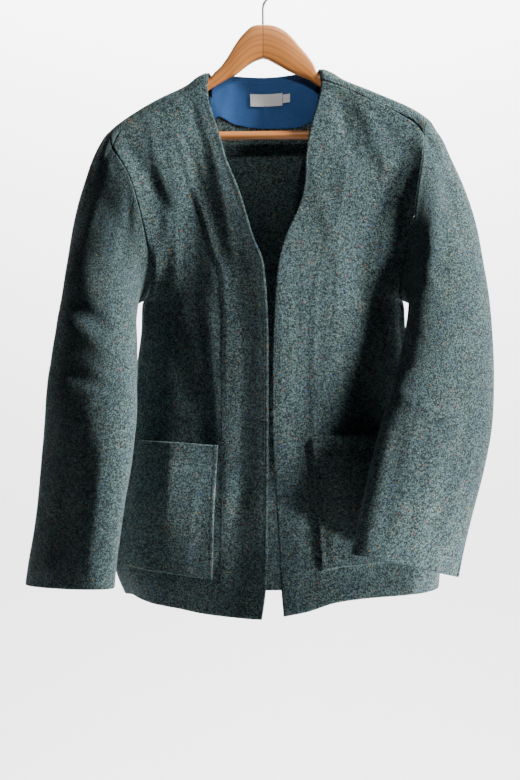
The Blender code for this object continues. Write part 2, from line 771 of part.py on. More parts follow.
def label(name, rows, normals):
    """The woven label or its tab, flat on the facing."""
    left, right, top, bottom = LABEL[name]
    depth = -(TWEED + COTTON + 2 * LINING_GAP)
    middle = find_row(rows, (left + right) / 2, (top + bottom) / 2)
    first = find_column(rows, middle, left)
    last = find_column(rows, middle, right)
    back = []
    front = []
    start = find_row(rows, (left + right) / 2, top)
    end = find_row(rows, (left + right) / 2, bottom)
    for row in crossings(start, end):
        back.append([on_panel(rows, normals, row, column, depth) for column in crossings(first, last)])
        front.append([on_panel(rows, normals, row, column, depth - WOVEN)
                      for column in crossings(first, last)])
    return wall(name, back, front, "label")


# Hanger

def arm_rows(side):
    """Sections of a wooden arm from the middle to its tip: its top follows the cloth."""
    sign = -1 if side == "left" else 1
    face = BAR_FACE[side]
    rows = list(ARM_HEAD[side])
    across = rows[-1].across + sign * ARM_STEP
    while abs(across) < abs(face) - ARM_STEP / 2:
        top = ridge(across) + WOOD_UNDER_CLOTH
        rows.append(Arm(across, top, top + ARM_HEIGHT))
        across += sign * ARM_STEP
    top = ridge(face) + WOOD_UNDER_CLOTH
    foot = BAR_DROP[side] + BAR_COVER
    rows.append(Arm(face, top, top + ARM_FACE_HEIGHT))
    rows.append(Arm(face + sign * ARM_FACE_SLANT, top, foot))
    rows.append(Arm(ARM_REACH[side], ridge(ARM_REACH[side]) + WOOD_UNDER_CLOTH, foot - WOOD_EDGE))
    return rows


def arm_section(row):
    """Eight corners of the rounded section of an arm."""
    half = WOOD / 2
    flat = half - WOOD_EDGE
    soft = WOOD_EDGE * 0.8
    return [
        place(row.across, -flat, row.top), place(row.across, flat, row.top),
        place(row.across, half, row.top + WOOD_EDGE), place(row.across, half, row.under - soft),
        place(row.across, flat, row.under), place(row.across, -flat, row.under),
        place(row.across, -half, row.under - soft), place(row.across, -half, row.top + WOOD_EDGE),
    ]


def hanger_arm(side):
    """A wooden arm, its section carried from the middle joint to the tip."""
    sections = [arm_section(row) for row in arm_rows(side)]
    bm = bmesh.new()
    corner_of = bm.verts.layers.int.new("corner")
    circle = bmesh.ops.create_circle(bm, segments=len(sections[0]), radius=1.0)
    for corner, vert in enumerate(circle["verts"]):
        vert[corner_of] = corner
        vert.co = sections[0][corner] * MM
    ring = bm.edges[:]
    for section in sections[1:]:
        moved = bmesh.ops.extrude_edge_only(bm, edges=ring)
        ring = [item for item in moved["geom"] if isinstance(item, bmesh.types.BMEdge)]
        ring = [edge for edge in ring if all(vert in moved["geom"] for vert in edge.verts)]
        for vert in (item for item in moved["geom"] if isinstance(item, bmesh.types.BMVert)):
            vert.co = section[vert[corner_of]] * MM
    bmesh.ops.holes_fill(bm, edges=bm.edges[:])
    bmesh.ops.recalc_face_normals(bm, faces=bm.faces[:])
    return finish("hanger_arm_" + side, bm, "wood")


def trouser_bar():
    """A round bar between the two arms."""
    left = place(BAR_FACE["left"] + SEAM_GAP, 0, BAR_DROP["left"])
    right = place(BAR_FACE["right"] - SEAM_GAP, 0, BAR_DROP["right"])
    return rod("trouser_bar", [left, right], BAR_RADIUS, 4, "wood")


def hook():
    """Round wire: a straight neck, a bend to the side and a loop over the rail."""
    centre = HOOK_RADIUS
    bend = HOOK_RADIUS + WIRE_RADIUS
    points = [place(row.across, 0, row.drop) for row in HOOK_NECK]
    for step in range(HOOK_STEPS + 1):
        turn = math.radians(mix(HOOK_START, HOOK_END, step / HOOK_STEPS))
        points.append(place(bend * math.cos(turn), 0, centre - bend * math.sin(turn)))
    return rod("hanger_hook", points, WIRE_RADIUS, 2, "steel")


def rod(name, points, radius, resolution, material):
    """A round rod along a line of points, with closed ends."""
    curve = bpy.data.curves.new(name, "CURVE")
    curve.dimensions = "3D"
    curve.bevel_depth = radius * MM
    curve.bevel_resolution = resolution
    curve.use_fill_caps = True
    line = curve.splines.new("POLY")
    line.points.add(len(points) - 1)
    for spot, point in zip(line.points, points):
        spot.co = (*(point * MM), 1.0)
    curve.materials.append(MATERIALS[material])
    piece = bpy.data.objects.new(name, curve)
    bpy.context.scene.collection.objects.link(piece)
    return piece


# The whole part

def make_material(name):
    """A plain finish with the part's colour."""
    material = bpy.data.materials.new(name)
    material.use_nodes = True
    shader = material.node_tree.nodes["Principled BSDF"]
    shader.inputs["Base Color"].default_value = COLOURS[name]
    shader.inputs["Roughness"].default_value = ROUGHNESS[name]
    shader.inputs["Metallic"].default_value = 1.0 if name == "steel" else 0.0
    return material


def clear_scene():
    """Remove whatever the scene holds."""
    for item in list(bpy.data.objects):
        bpy.data.objects.remove(item, do_unlink=True)


def main():
    """Build every piece of the jacket and its hanger."""
    fronts = {side: front_panel(side) for side in SIDES}
    back = back_panel(fronts)
    sleeves = {side: sleeve(side, fronts, back) for side in SIDES}
    normals = seam_normals([(fronts["left"], 1), (fronts["right"], -1), (back, 1)])
    arms = {}
    for side in SIDES:
        hand = -1 if side == "left" else 1
        arms[side] = seam_normals([(rows, hand) for rows in sleeves[side]])
        meet_at_armhole(side, normals, arms[side], fronts, back)
    half = SEAM_GAP / 2
    cloth("back", back, normals, (half, 0, half, half))
    for side in SIDES:
        cloth("front_" + side, fronts[side], normals, (half, 0, 0, half))
        outward = -ARMHOLE_GAP if side == "left" else ARMHOLE_GAP
        top, under = sleeves[side]
        cloth("sleeve_top_" + side, top, arms[side], (0, 0, half, half), shift=(outward, 0, 0))
        cloth("sleeve_under_" + side, under, arms[side], (0, 0, half, half), shift=(outward, 0, 0))
        pocket(side, fronts[side], normals)
        hanger_arm(side)
    facing(back, normals)
    label("neck_label", back, normals)
    label("size_tab", back, normals)
    trouser_bar()
    hook()


clear_scene()
MATERIALS = {name: make_material(name) for name in COLOURS}
main()
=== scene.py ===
"""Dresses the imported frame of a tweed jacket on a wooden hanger.

Metres, Z up, X to the right as seen from the front, Y away from the viewer. The origin is the
inside top of the hook. The tables are in millimetres: across is X, drop is the height below the
origin, and depth is Y. Each cloth panel is a fine shell through the same points as its solid, with
its creases, rolled seam edges and sewing added.
"""
import math
from collections import namedtuple
from functools import lru_cache

import bmesh
import bpy
from mathutils import Matrix, Vector


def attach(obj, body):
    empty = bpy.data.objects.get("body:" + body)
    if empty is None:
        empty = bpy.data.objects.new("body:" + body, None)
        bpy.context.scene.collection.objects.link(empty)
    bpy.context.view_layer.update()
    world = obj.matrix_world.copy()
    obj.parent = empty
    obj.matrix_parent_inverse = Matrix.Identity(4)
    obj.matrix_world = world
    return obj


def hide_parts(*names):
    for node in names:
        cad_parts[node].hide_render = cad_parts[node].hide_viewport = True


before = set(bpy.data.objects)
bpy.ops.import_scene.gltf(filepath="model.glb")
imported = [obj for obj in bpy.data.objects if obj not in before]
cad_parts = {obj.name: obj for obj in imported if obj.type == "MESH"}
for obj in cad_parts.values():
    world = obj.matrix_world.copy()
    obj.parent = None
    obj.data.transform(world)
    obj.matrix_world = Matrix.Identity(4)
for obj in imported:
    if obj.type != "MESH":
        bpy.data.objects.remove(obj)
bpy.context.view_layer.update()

bl_info = {
    "name": "Tweed jacket on a hanger",
    "version": (1, 0, 0),
    "blender": (4, 5, 0),
    "location": "View3D > Sidebar > Jacket",
    "description": "Makes the cloth, sewing, hanger and stage of a tweed jacket around its frame",
    "category": "Object",
}

MM = 0.001
SIDES = ("left", "right")


def tabled(kind, *rows):
    """A table's rows with their columns named."""
    return [kind(*row) for row in rows]


# Walls and gaps
TWEED = 2.0
COTTON = 1.0
WOVEN = 1.0
SEAM_GAP = 0.3
SEAM_TUCK = 0.03
ARMHOLE_GAP = 0.12
UNDERARM_TURN = 70.0
LINING_GAP = 0.5

# How finely the cloth is cut into rows and columns
FRONT_COLUMNS = 10
NECK_COLUMNS = 6
TURN_COLUMNS = 3
RIDGE_ROWS = 5
ARM_ROWS = 11
HEM_ROWS = 10
SEARCHES = 30

Spot = namedtuple("Spot", "across drop")

# Shoulders: cloth over the hanger
NECK = {"left": -75.0, "right": 78.0}
RIDGE_RADIUS = 10.5
SHOULDER_FALL = 130.0
NECK_RISE = 60.0
NECK_FLAT = 60.0
NECK_ROW = 2.4
TURN_STEP = 2.4
ROUNDNESS = 2.6

RIDGE = tabled(
    Spot, (-209, 222), (-195, 209), (-165, 188), (-135, 171), (-104, 156.5), (-75, 138.5),
    (0, 137), (78, 133.5), (109, 148.5), (128, 156), (160, 169), (190, 182), (211, 194),
    (222, 203))
SHOULDER_SEAM = {
    "left": tabled(
        Spot, (-198, 239), (-193, 226), (-184, 213), (-161, 198), (-135, 185), (-109, 170),
        (-75, 154)),
    "right": tabled(
        Spot, (78, 149), (116, 163), (137, 174), (163, 185), (189, 200), (206, 212), (211, 222)),
}
BACK_NECK = tabled(Spot, (-66, 139.5), (0, 142.5), (69, 135.5))

# Front edges, from the shoulder seam down the V and on to the hem
Edge = namedtuple("Edge", "drop across")
FRONT_EDGE = {
    "left": tabled(
        Edge, (139, -75.2), (165, -73.6), (181, -69.6), (199, -64.2), (228, -55), (261, -45.7),
        (297, -31.3), (340, -18.2), (368, -9.1), (392, 0.5), (438, 5), (492, 7), (616, 7),
        (738, 6), (813, 4), (851, -1.4)),
    "right": tabled(
        Edge, (133, 77.8), (156, 77.6), (181, 70.9), (215, 61.5), (251, 55.5), (286, 54),
        (316, 46.7), (347, 33.7), (370, 24.6), (392, 19.4), (427, 15.4), (477, 12.8), (518, 11.5),
        (616, 11), (665, 14), (738, 19), (812, 23), (847, 26)),
}

# Body: where the side seams hang, the middle, and how far front and back stand from the hanger
Body = namedtuple("Body", "drop left right middle front back")
BODY = tabled(
    Body, (130, -209, 222, 2, 11, 17), (180, -209, 222, 3, 16, 20), (250, -196, 214, 6, 26, 28),
    (330, -180, 204, 9, 40, 38), (440, -158, 185, 13, 52, 49), (520, -166, 196, 15, 58, 56),
    (600, -178, 211, 16, 63, 62), (735, -196, 230, 17, 69, 69), (790, -196, 234, 17, 73, 72),
    (830, -180, 230, 18, 76, 74))
FRONT_HEM = {
    "left": tabled(
        Spot, (-181, 826), (-171, 829), (-143, 835.5), (-118, 838), (-69, 845.7), (-20, 850),
        (0, 851)),
    "right": tabled(Spot, (20, 848), (69, 838), (88, 831), (131, 825), (207, 820.5), (231, 817)),
}
BACK_HEM = tabled(Spot, (-181, 826), (-60, 829), (60, 829), (231, 817))

# Armholes: angle 0 is the top of the shoulder and 180 the underarm, front and back
UNDERARM = 440.0
SEAM_ANGLE = 30.0
RIDGE_ANGLES = (30.0, 20.0, 10.0, 0.0, 12.0, 28.0)
SCYE_DEPTH = {"front": 42.0, "back": 34.0}
Scye = namedtuple("Scye", "angle front back")
ARMHOLE = {
    "left": tabled(
        Scye, (0, -209, -209), (30, -198, -201), (63, -172, -188), (106, -152, -176),
        (128, -146, -167), (155, -150, -161), (180, -158, -158)),
    "right": tabled(
        Scye, (0, 222, 222), (31, 211, 216), (49, 209, 211), (78, 201, 205), (113, 190, 198),
        (130, 183, 193), (155, 179, 187), (180, 185, 185)),
}

# Soft folds of the body: height outwards is above zero, a trough is below it
Fold = namedtuple("Fold", "face across lean top bottom width height")
FOLDS = tabled(
    Fold, ("front", -122, 0.02, 185, 420, 17, 2.5), ("front", -86, -0.04, 165, 470, 16, -3),
    ("front", -54, 0.0, 330, 850, 14, 3), ("front", 112, 0.12, 150, 290, 18, -3),
    ("front", 128, 0.0, 180, 330, 20, 3), ("front", 96, 0.03, 480, 850, 34, 5),
    ("front", -130, -0.03, 560, 850, 36, 4), ("back", -92, 0.05, 230, 840, 30, 7),
    ("back", -18, -0.02, 330, 840, 26, -6), ("back", 70, 0.04, 250, 840, 30, 7),
    ("back", 140, 0.02, 380, 830, 24, -5))

# Sleeve sections from the armhole to the cuff: the outer and the inner end of each, and half its
# thickness. Yaw turns the front face inwards, and twist brings the seam round from behind the arm.
Section = namedtuple(
    "Section", "place outer_x outer_y outer_drop inner_x inner_y inner_drop half yaw twist")
SLEEVE = {
    "left": tabled(
        Section, (0, -209, 0, 222, -158, 0, 440, 42, 20, 0),
        (1, -226, -4, 254, -174, -5, 452, 44, 30, 2),
        (2, -236, -10, 294, -175, -20, 470, 43, 38, 5),
        (3, -247, -17, 345, -168, -42, 500, 42, 32, 9),
        (4, -258, -25, 400, -162, -66, 536, 40, 12, 14),
        (5, -267, -33, 470, -161, -92, 580, 38, -10, 20),
        (6, -275, -40, 540, -165, -110, 618, 37, -26, 26),
        (7, -278, -46, 604, -170, -120, 655, 36, -33, 32),
        (8, -282, -50, 664, -177, -126, 695, 35, -35, 36),
        (9, -288, -54, 725, -183, -128, 738, 35, -35, 40),
        (10, -297, -58, 774, -188, -130, 778, 36, -34, 43),
        (11, -302, -60, 806, -190, -131, 806, 36, -33, 45)),
    "right": tabled(
        Section, (0, 222, 0, 203, 185, 0, 440, 42, 20, 0),
        (1, 243, -4, 241, 200, -5, 450, 44, 30, 2), (2, 260, -11, 284, 198, -20, 468, 43, 38, 5),
        (3, 277, -21, 340, 187, -42, 496, 42, 32, 9),
        (4, 289, -32, 400, 172, -66, 530, 38, 14, 14),
        (5, 297, -42, 470, 158, -90, 572, 34, -4, 20),
        (6, 298, -50, 540, 147, -107, 610, 32, -16, 26),
        (7, 294, -57, 608, 137, -117, 646, 31, -21, 32),
        (8, 283, -62, 662, 129, -122, 682, 30, -22, 37),
        (9, 266, -67, 725, 120, -126, 720, 29, -22, 42),
        (10, 255, -71, 771, 113, -128, 752, 28, -22, 46),
        (11, 250, -73, 797, 110, -129, 763, 27, -22, 48)),
}
SLEEVE_RINGS = (0, 0.6, 1.2, 1.8, 2.4, 3.1, 3.8, 4.5, 5.2, 6, 7, 8, 9, 10, 11)
ARMHOLE_FADE = 3.0
SLEEVE_REST = 5.0
BODY_CORNER = 0.75
BODY_FRONT = 30.0
VENT = {"left": 5.0, "right": 9.0}
VENT_PLACE = 9.0

# Patch pockets, in rows and columns of the front: how far each corner lies from the edges
POCKET_WALL = 2.6
POCKET_GAPE = 9.0
POCKET_LIFT = 0.1
POCKET_FADE = 40.0
POCKET_REACH = 20.0
Pocket = namedtuple("Pocket", "inner outer mouth foot")
POCKET = {
    "left": Pocket(-62.8, -177.5, 624, 793.5),
    "right": Pocket(68.8, 200.0, 614, 781.5),
}

# Facing, label and tab inside the back neck
FACING_LOWER = tabled(Spot, (-78, 186), (-50, 202), (0, 209), (40, 208), (82, 196))
FACING_START = 0.25
LABEL = {"neck_label": (-17.0, 26.0, 164.0, 180.0), "size_tab": (26.6, 36.0, 164.0, 175.0)}

# Hanger
WOOD = 12.4
WOOD_EDGE = 5.8
WOOD_UNDER_CLOTH = TWEED + 1.3
Arm = namedtuple("Arm", "across top under")
ARM_HEAD = {
    "left": tabled(
        Arm, (-0.15, 75, 120), (-8, 75, 122.5), (-16.6, 77.8, 127), (-22.4, 83, 131),
        (-30, 91, 137), (-37, 101, 142), (-46, 116, 146.5), (-55.4, 129, 152), (-64, 137.5, 157),
        (-70.5, 144.5, 161)),
    "right": tabled(
        Arm, (0.15, 75, 120), (8, 75, 122.5), (14.5, 76, 126), (22, 79, 130), (29, 83, 134),
        (38, 91, 138.5), (49, 104, 143), (59.5, 116, 147.5), (67, 127, 152), (74, 139.8, 156.5)),
}
ARM_REACH = {"left": -192.0, "right": 196.0}
ARM_HEIGHT = 25.0
ARM_STEP = 14.0
ARM_FACE_HEIGHT = 20.0
ARM_FACE_SLANT = 0.4
BAR_RADIUS = 6.0
BAR_DROP = {"left": 223.0, "right": 219.0}
BAR_FACE = {"left": -170.0, "right": 174.0}
BAR_COVER = 8.0

# Hook: wire bent round a rail
WIRE_RADIUS = 1.6
HOOK_RADIUS = 19.0
HOOK_START = -52.0
HOOK_END = 205.0
HOOK_STEPS = 22
HOOK_NECK = tabled(Spot, (0, 74.7), (0, 62), (0, 52), (1.2, 47), (4.4, 42.3), (8.6, 38.6))


# Stage, in metres: the backdrop's sweep, the camera, and where each light stands and points
STAGE_CUTS = 40
STAGE_HALF = 4.0
STAGE_FRONT = -0.8
STAGE_WALL = 3.0
STAGE_BEND = 0.8
STAGE_TOP = 3.0
CAMERA_ACROSS = -0.004
SENSOR = 36.0
KEY_SIZE = (0.5, 0.5)
KEY_PLACE = (2.15, -0.5, 1.0)
KEY_AIM = (0.05, 0.0, -0.5)
LOW_PLACE = (1.15, -0.34, -1.4)
LOW_AIM = (0.105, -0.07, -0.745)
LOW_CONE = 13.0
NECK_PLACE = (0.25, -1.3, 0.75)
NECK_AIM = (-0.01, 0.0, -0.15)
NECK_CONE = 5.6
SPOT_RADIUS = 0.12
WALL_SIZE = (3.6, 0.6)
WALL_PLACE = (0.0, 1.7, 1.5)
WALL_AIM = (0.0, 3.0, -0.9)
SKY_COLOUR = (0.93, 0.96, 1.0, 1.0)
SKY_SEEN = 0.9


# Reading tables and blending

def read(table, place, column):
    """A column of a table, on a smooth curve along its first column that never overshoots."""
    at = [row[0] for row in table]
    values = [getattr(row, column) for row in table]
    if place <= at[0]:
        return values[0]
    if place >= at[-1]:
        return values[-1]
    rises = [(b - a) / (q - p) for a, b, p, q in zip(values, values[1:], at, at[1:])]
    slopes = [rises[0]]
    for before, after in zip(rises, rises[1:]):
        steady = before * after > 0
        slopes.append(2 * before * after / (before + after) if steady else 0.0)
    slopes.append(rises[-1])
    step = max(i for i in range(len(at) - 1) if at[i] <= place)
    span = at[step + 1] - at[step]
    t = (place - at[step]) / span
    keep = (1 + 2 * t) * (1 - t) ** 2
    lead = t * (1 - t) ** 2 * span
    reach = t * t * (3 - 2 * t)
    trail = t * t * (t - 1) * span
    return (keep * values[step] + lead * slopes[step]
            + reach * values[step + 1] + trail * slopes[step + 1])


def mix(a, b, share):
    """The value between a and b."""
    return a + (b - a) * share


def ease(t):
    """Nought to one, slow at both ends."""
    t = min(max(t, 0.0), 1.0)
    return t * t * (3 - 2 * t)


def grown(distance, start, reach):
    """Nought up to a distance, and one from a reach beyond it."""
    return ease((distance - start) / reach)


def place(across, depth, drop):
    """A point of the garment."""
    return Vector((across, depth, -drop))


# The body's form

def ridge(across):
    """Drop of the line over the hanger, which rises out of the way inside the neck."""
    drop = read(RIDGE, across, "drop")
    if abs(across) < NECK_FLAT:
        drop -= NECK_RISE * (1 - (across / NECK_FLAT) ** 2)
    return drop


def folds(face, across, drop):
    """Height of the soft folds at a place on the front or the back."""
    height = 0.0
    for fold in FOLDS:
        if fold.face == face and fold.top < drop < fold.bottom:
            line = fold.across + fold.lean * (drop - fold.top)
            along = (drop - fold.top) / (fold.bottom - fold.top)
            swell = ease(along * 3) * ease((1 - along) * 5)
            height += fold.height * swell * math.exp(-((across - line) / fold.width) ** 2)
    return height


def body_depth(face, across, drop, side_depth, share):
    """Distance from the hanger's plane, rounded in towards the side seam or the armhole."""
    fall = ease((drop - ridge(across)) / SHOULDER_FALL)
    full = mix(RIDGE_RADIUS, read(BODY, drop, face), fall)
    round_off = max(0.0, 1 - abs(share) ** ROUNDNESS) ** (1 / ROUNDNESS)
    calm = 1 - abs(share) ** 6
    return mix(side_depth, full, round_off) + folds(face, across, drop) * calm


def armhole(side, face, angle):
    """Point of the armhole seam at an angle from the top of the shoulder."""
    top = read(RIDGE, ARMHOLE[side][0].front, "drop")
    half = (UNDERARM - top) / 2
    turn = math.radians(angle)
    depth = SCYE_DEPTH[face] * math.sin(turn)
    return (read(ARMHOLE[side], angle, face), depth, top + half * (1 - math.cos(turn)))


def hem_side(side):
    """Drop of the hem at the side seam."""
    row = FRONT_HEM[side][0] if side == "left" else FRONT_HEM[side][-1]
    return row.drop


def front_panel(side):
    """Points of a front, rows from the shoulder seam to the hem, columns from the front edge."""
    neck_drop = read(SHOULDER_SEAM[side], NECK[side], "drop")
    hem_edge = FRONT_HEM[side][-1 if side == "left" else 0].drop
    rows = []
    bows = []
    for row in range(ARM_ROWS + HEM_ROWS + 1):
        above = min(row / ARM_ROWS, 1.0)
        below = max(0.0, (row - ARM_ROWS) / HEM_ROWS)
        side_x, side_depth, side_drop = armhole(side, "front", mix(SEAM_ANGLE, 180, above))
        edge_drop = mix(neck_drop, UNDERARM, above)
        if below:
            edge_drop = mix(UNDERARM, hem_edge, below)
            side_drop = mix(UNDERARM, hem_side(side), below)
            side_x, side_depth = read(BODY, side_drop, side), 0.0
        edge_x = read(FRONT_EDGE[side], edge_drop, "across")
        hem_x = read(FRONT_EDGE[side], hem_edge, "across")
        hem_end = read(BODY, hem_side(side), side)
        points = []
        for column in range(FRONT_COLUMNS + 1):
            even = column / FRONT_COLUMNS
            share = mix(even, math.sin(even * math.pi / 2), ease(above))
            across = mix(edge_x, side_x, share)
            drop = mix(edge_drop, side_drop, share)
            if row == 0:
                bows.append(read(SHOULDER_SEAM[side], across, "drop") - drop)
            drop += bows[column] * (1 - above) ** 2
            if below and column < FRONT_COLUMNS:
                hem = read(FRONT_HEM[side], mix(hem_x, hem_end, share), "drop")
                drop = mix(UNDERARM, hem, below)
            middle = read(BODY, drop, "middle")
            reach = (across - middle) / (side_x - middle)
            depth = body_depth("front", across, drop, side_depth, reach)
            points.append(place(across, -depth, drop))
        rows.append(points)
    return rows


def over_ridge(side, seam_point, share, row):
    """Point of a row of the back where it turns over the hanger from the shoulder seam."""
    face = "front" if row < 3 else "back"
    arm_x, arm_depth, arm_drop = armhole(side, face, RIDGE_ANGLES[row])
    arm_depth = -arm_depth if face == "front" else arm_depth
    tip_x = armhole(side, "front", SEAM_ANGLE)[0]
    loose = ease((share - 0.6) / 0.4)
    across = seam_point.x + (arm_x - tip_x) * loose
    turn = math.radians(45 * (row - 3))
    depth = RIDGE_RADIUS * math.sin(turn)
    arm_top = armhole(side, "front", 0)[2]
    drop = mix(RIDGE_RADIUS * (1 - math.cos(turn)), arm_drop - arm_top, loose)
    return place(across, mix(depth, arm_depth, loose), ridge(across) + drop)


def neck_turn(side, step, row):
    """Point of a column of the back beside the neck, which starts part way over the hanger."""
    start = math.radians(45 * (step - 2)) * RIDGE_RADIUS
    quarter = math.pi / 2 * RIDGE_RADIUS
    end = quarter + step * NECK_ROW
    run = mix(start, end, row / RIDGE_ROWS)
    inward = 1 if side == "left" else -1
    across = NECK[side] + inward * step * TURN_STEP
    if run < quarter:
        turn = run / RIDGE_RADIUS
        drop = ridge(across) + RIDGE_RADIUS * (1 - math.cos(turn))
        return place(across, RIDGE_RADIUS * math.sin(turn), drop)
    drop = ridge(across) + RIDGE_RADIUS + run - quarter
    return place(across, body_depth("back", across, drop, 0.0, 0.0), drop)


def back_top(fronts):
    """The back's rows over the hanger, columns from the left armhole to the right one."""
    rows = []
    for row in range(RIDGE_ROWS + 1):
        parts = {}
        for side in SIDES:
            seam = fronts[side][0]
            run = []
            for column, point in enumerate(seam):
                share = column / FRONT_COLUMNS
                run.append(point.copy() if row == 0 else over_ridge(side, point, share, row))
            turns = [neck_turn(side, step, row) for step in range(1, TURN_COLUMNS + 1)]
            parts[side] = list(reversed(run)) + turns
        neck = []
        for column in range(NECK_COLUMNS + 1):
            across = mix(BACK_NECK[0].across, BACK_NECK[-1].across, column / NECK_COLUMNS)
            drop = read(BACK_NECK, across, "drop") + row * NECK_ROW
            neck.append(place(across, body_depth("back", across, drop, 0.0, 0.0), drop))
        rows.append(parts["left"] + neck + list(reversed(parts["right"])))
    return rows


def back_panel(fronts):
    """Points of the back, rows from the shoulder seams over the hanger to the hem."""
    rows = back_top(fronts)
    top = rows[-1]
    columns = len(top) - 1
    first_angle = RIDGE_ANGLES[-1]
    for row in range(1, ARM_ROWS + HEM_ROWS + 1):
        above = min(row / ARM_ROWS, 1.0)
        below = max(0.0, (row - ARM_ROWS) / HEM_ROWS)
        points = []
        for column in range(columns + 1):
            side = "left" if column * 2 < columns else "right"
            start_x, _, start_drop = armhole(side, "back", first_angle)
            side_x, side_depth, side_drop = armhole(side, "back", mix(first_angle, 180, above))
            even = math.sin(math.pi * (column / columns - 0.5))
            middle = read(BODY, top[column].z * -1, "middle")
            first = (top[column].x - middle) / abs(start_x - middle)
            share = mix(first, even, ease(above))
            level = mix(above, (side_drop - start_drop) / (UNDERARM - start_drop), share * share)
            drop = mix(-top[column].z, UNDERARM, level)
            if below:
                side_drop = mix(UNDERARM, hem_side(side), below)
                side_x, side_depth = read(BODY, side_drop, side), 0.0
                drop = UNDERARM
            middle = read(BODY, drop, "middle")
            if below:
                middle = read(BODY, side_drop, "middle")
                hem_middle = read(BODY, hem_side(side), "middle")
                hem_x = hem_middle + abs(read(BODY, hem_side(side), side) - hem_middle) * share
                at_side = column in (0, columns)
                hem = hem_side(side) if at_side else read(BACK_HEM, hem_x, "drop")
                drop = mix(UNDERARM, hem, below)
            across = middle + abs(side_x - middle) * share
            depth = body_depth("back", across, drop, side_depth, share)
            points.append(place(across, depth, drop))
        rows.append(points)
    return rows


# Sleeves

def sleeve_ellipse(side, at, angle):
    """Point of the plain oval section at a place down the sleeve."""
    def column(name):
        return read(SLEEVE[side], at, name)
    outer = place(column("outer_x"), column("outer_y"), column("outer_drop"))
    inner = place(column("inner_x"), column("inner_y"), column("inner_drop"))
    centre = (outer + inner) / 2
    reach = (outer - inner) / 2
    yaw = math.radians(column("yaw"))
    inward = 1 if side == "left" else -1
    forward = Vector((inward * math.sin(yaw), -math.cos(yaw), 0))
    turn = math.radians(angle + column("twist"))
    return centre + reach * math.cos(turn) + forward * column("half") * math.sin(turn)


def sleeve_loop(side, fronts, back):
    """The armhole seam as angles and points: over the top, down the front and up the back."""
    last = -1 if side == "right" else 0
    edge = [row[last] for row in back]
    front = [row[-1] for row in fronts[side]]
    angles = []
    points = []
    for row in range(RIDGE_ROWS, 0, -1):
        angles.append(-RIDGE_ANGLES[row] if row > 3 else RIDGE_ANGLES[row])
        points.append(edge[row])
    for row in range(ARM_ROWS + 1):
        angles.append(mix(SEAM_ANGLE, 180, row / ARM_ROWS))
        points.append(front[row])
    for row in range(ARM_ROWS - 1, -1, -1):
        angles.append(-mix(RIDGE_ANGLES[-1], 180, row / ARM_ROWS) + 360)
        points.append(edge[RIDGE_ROWS + row])
    return angles, points


def within_body(side, point):
    """Whether a point lies in the body, or closer to it than the sleeve rests."""
    drop = -point.z
    face = "front" if point.y < 0 else "back"
    side_depth = 0.0
    side_x = read(BODY, drop, side)
    if drop < UNDERARM:
        side_x, side_depth, _ = armhole(side, face, scye_angle(side, drop))
    middle = read(BODY, drop, "middle")
    reach = abs(side_x - middle) + (SLEEVE_REST if drop >= UNDERARM else 0)
    share = abs(point.x - middle) / reach
    if share >= 1:
        return False
    depth = body_depth(face, point.x, drop, side_depth, share) + SLEEVE_REST
    return abs(point.y) < depth + pocket_height(side, point.x, drop)


def clear_of_body(side, point):
    """A sleeve's point moved out to where the sleeve rests against the body, if it lies within."""
    drop = -point.z
    middle = read(BODY, drop, "middle")
    pivot = middle + (read(BODY, drop, side) - middle) * BODY_CORNER
    away = Vector((point.x - pivot, point.y, 0))
    if away.x * (pivot - middle) < 0 or point.y < -BODY_FRONT:
        away = Vector((0, -1, 0))
    step = away.normalized()
    while within_body(side, point):
        point = point + step
    return point


def scye_angle(side, drop):
    """Angle round the armhole at a given drop."""
    top = read(RIDGE, ARMHOLE[side][0].front, "drop")
    half = (UNDERARM - top) / 2
    return math.degrees(math.acos(max(-1.0, min(1.0, 1 - (drop - top) / half))))


def pocket_height(side, across, drop):
    """How far the pocket stands out under the sleeve."""
    cut = POCKET[side]
    below = ease((drop - cut.mouth + POCKET_FADE) / POCKET_FADE)
    above = ease((cut.foot + POCKET_FADE - drop) / POCKET_FADE)
    beside = abs(across) > abs(cut.inner) - POCKET_REACH
    return (POCKET_WALL + POCKET_GAPE) * below * above if beside else 0.0


def sleeve(side, fronts, back):
    """Rings of a sleeve from the armhole to the cuff, as the top piece and the under piece."""
    angles, seam = sleeve_loop(side, fronts, back)
    own = [point - sleeve_ellipse(side, 0, angle) for angle, point in zip(angles, seam)]
    rings = []
    for at in SLEEVE_RINGS:
        keep = 1 - ease(at / ARMHOLE_FADE)
        ring = [sleeve_ellipse(side, at, angle) + rest * keep for angle, rest in zip(angles, own)]
        rings.append([clear_of_body(side, point) for point in ring] if at > 0 else ring)
    half = RIDGE_ROWS + ARM_ROWS
    top = [ring[:half + 1] for ring in rings]
    under = [ring[half:] for ring in rings]
    for ring, at in enumerate(SLEEVE_RINGS):
        open_by = VENT[side] / 2 * ease((at - VENT_PLACE) / (SLEEVE_RINGS[-1] - VENT_PLACE))
        top[ring][0] = slide(top[ring][0], top[ring][1], open_by)
        under[ring][-1] = slide(under[ring][-1], under[ring][-2], open_by)
    return top, under


def slide(point, towards, distance):
    """A point moved towards its neighbour."""
    step = towards - point
    return point + step.normalized() * min(distance, step.length * 0.8)


# Walls

def key(point):
    """A name for a point that panels share at a seam."""
    return tuple(round(value, 2) for value in point)


def seam_normals(panels):
    """Outward direction at every point, shared by the panels that meet there."""
    sums = {}
    for rows, outward in panels:
        for row in range(len(rows) - 1):
            for column in range(len(rows[0]) - 1):
                corners = (rows[row][column], rows[row][column + 1],
                           rows[row + 1][column + 1], rows[row + 1][column])
                face = (corners[2] - corners[0]).cross(corners[3] - corners[1]) * outward
                if face.length > 0:
                    for corner in corners:
                        total = sums.setdefault(key(corner), Vector((0, 0, 0)))
                        total += face.normalized()
    return {name: total.normalized() for name, total in sums.items()}


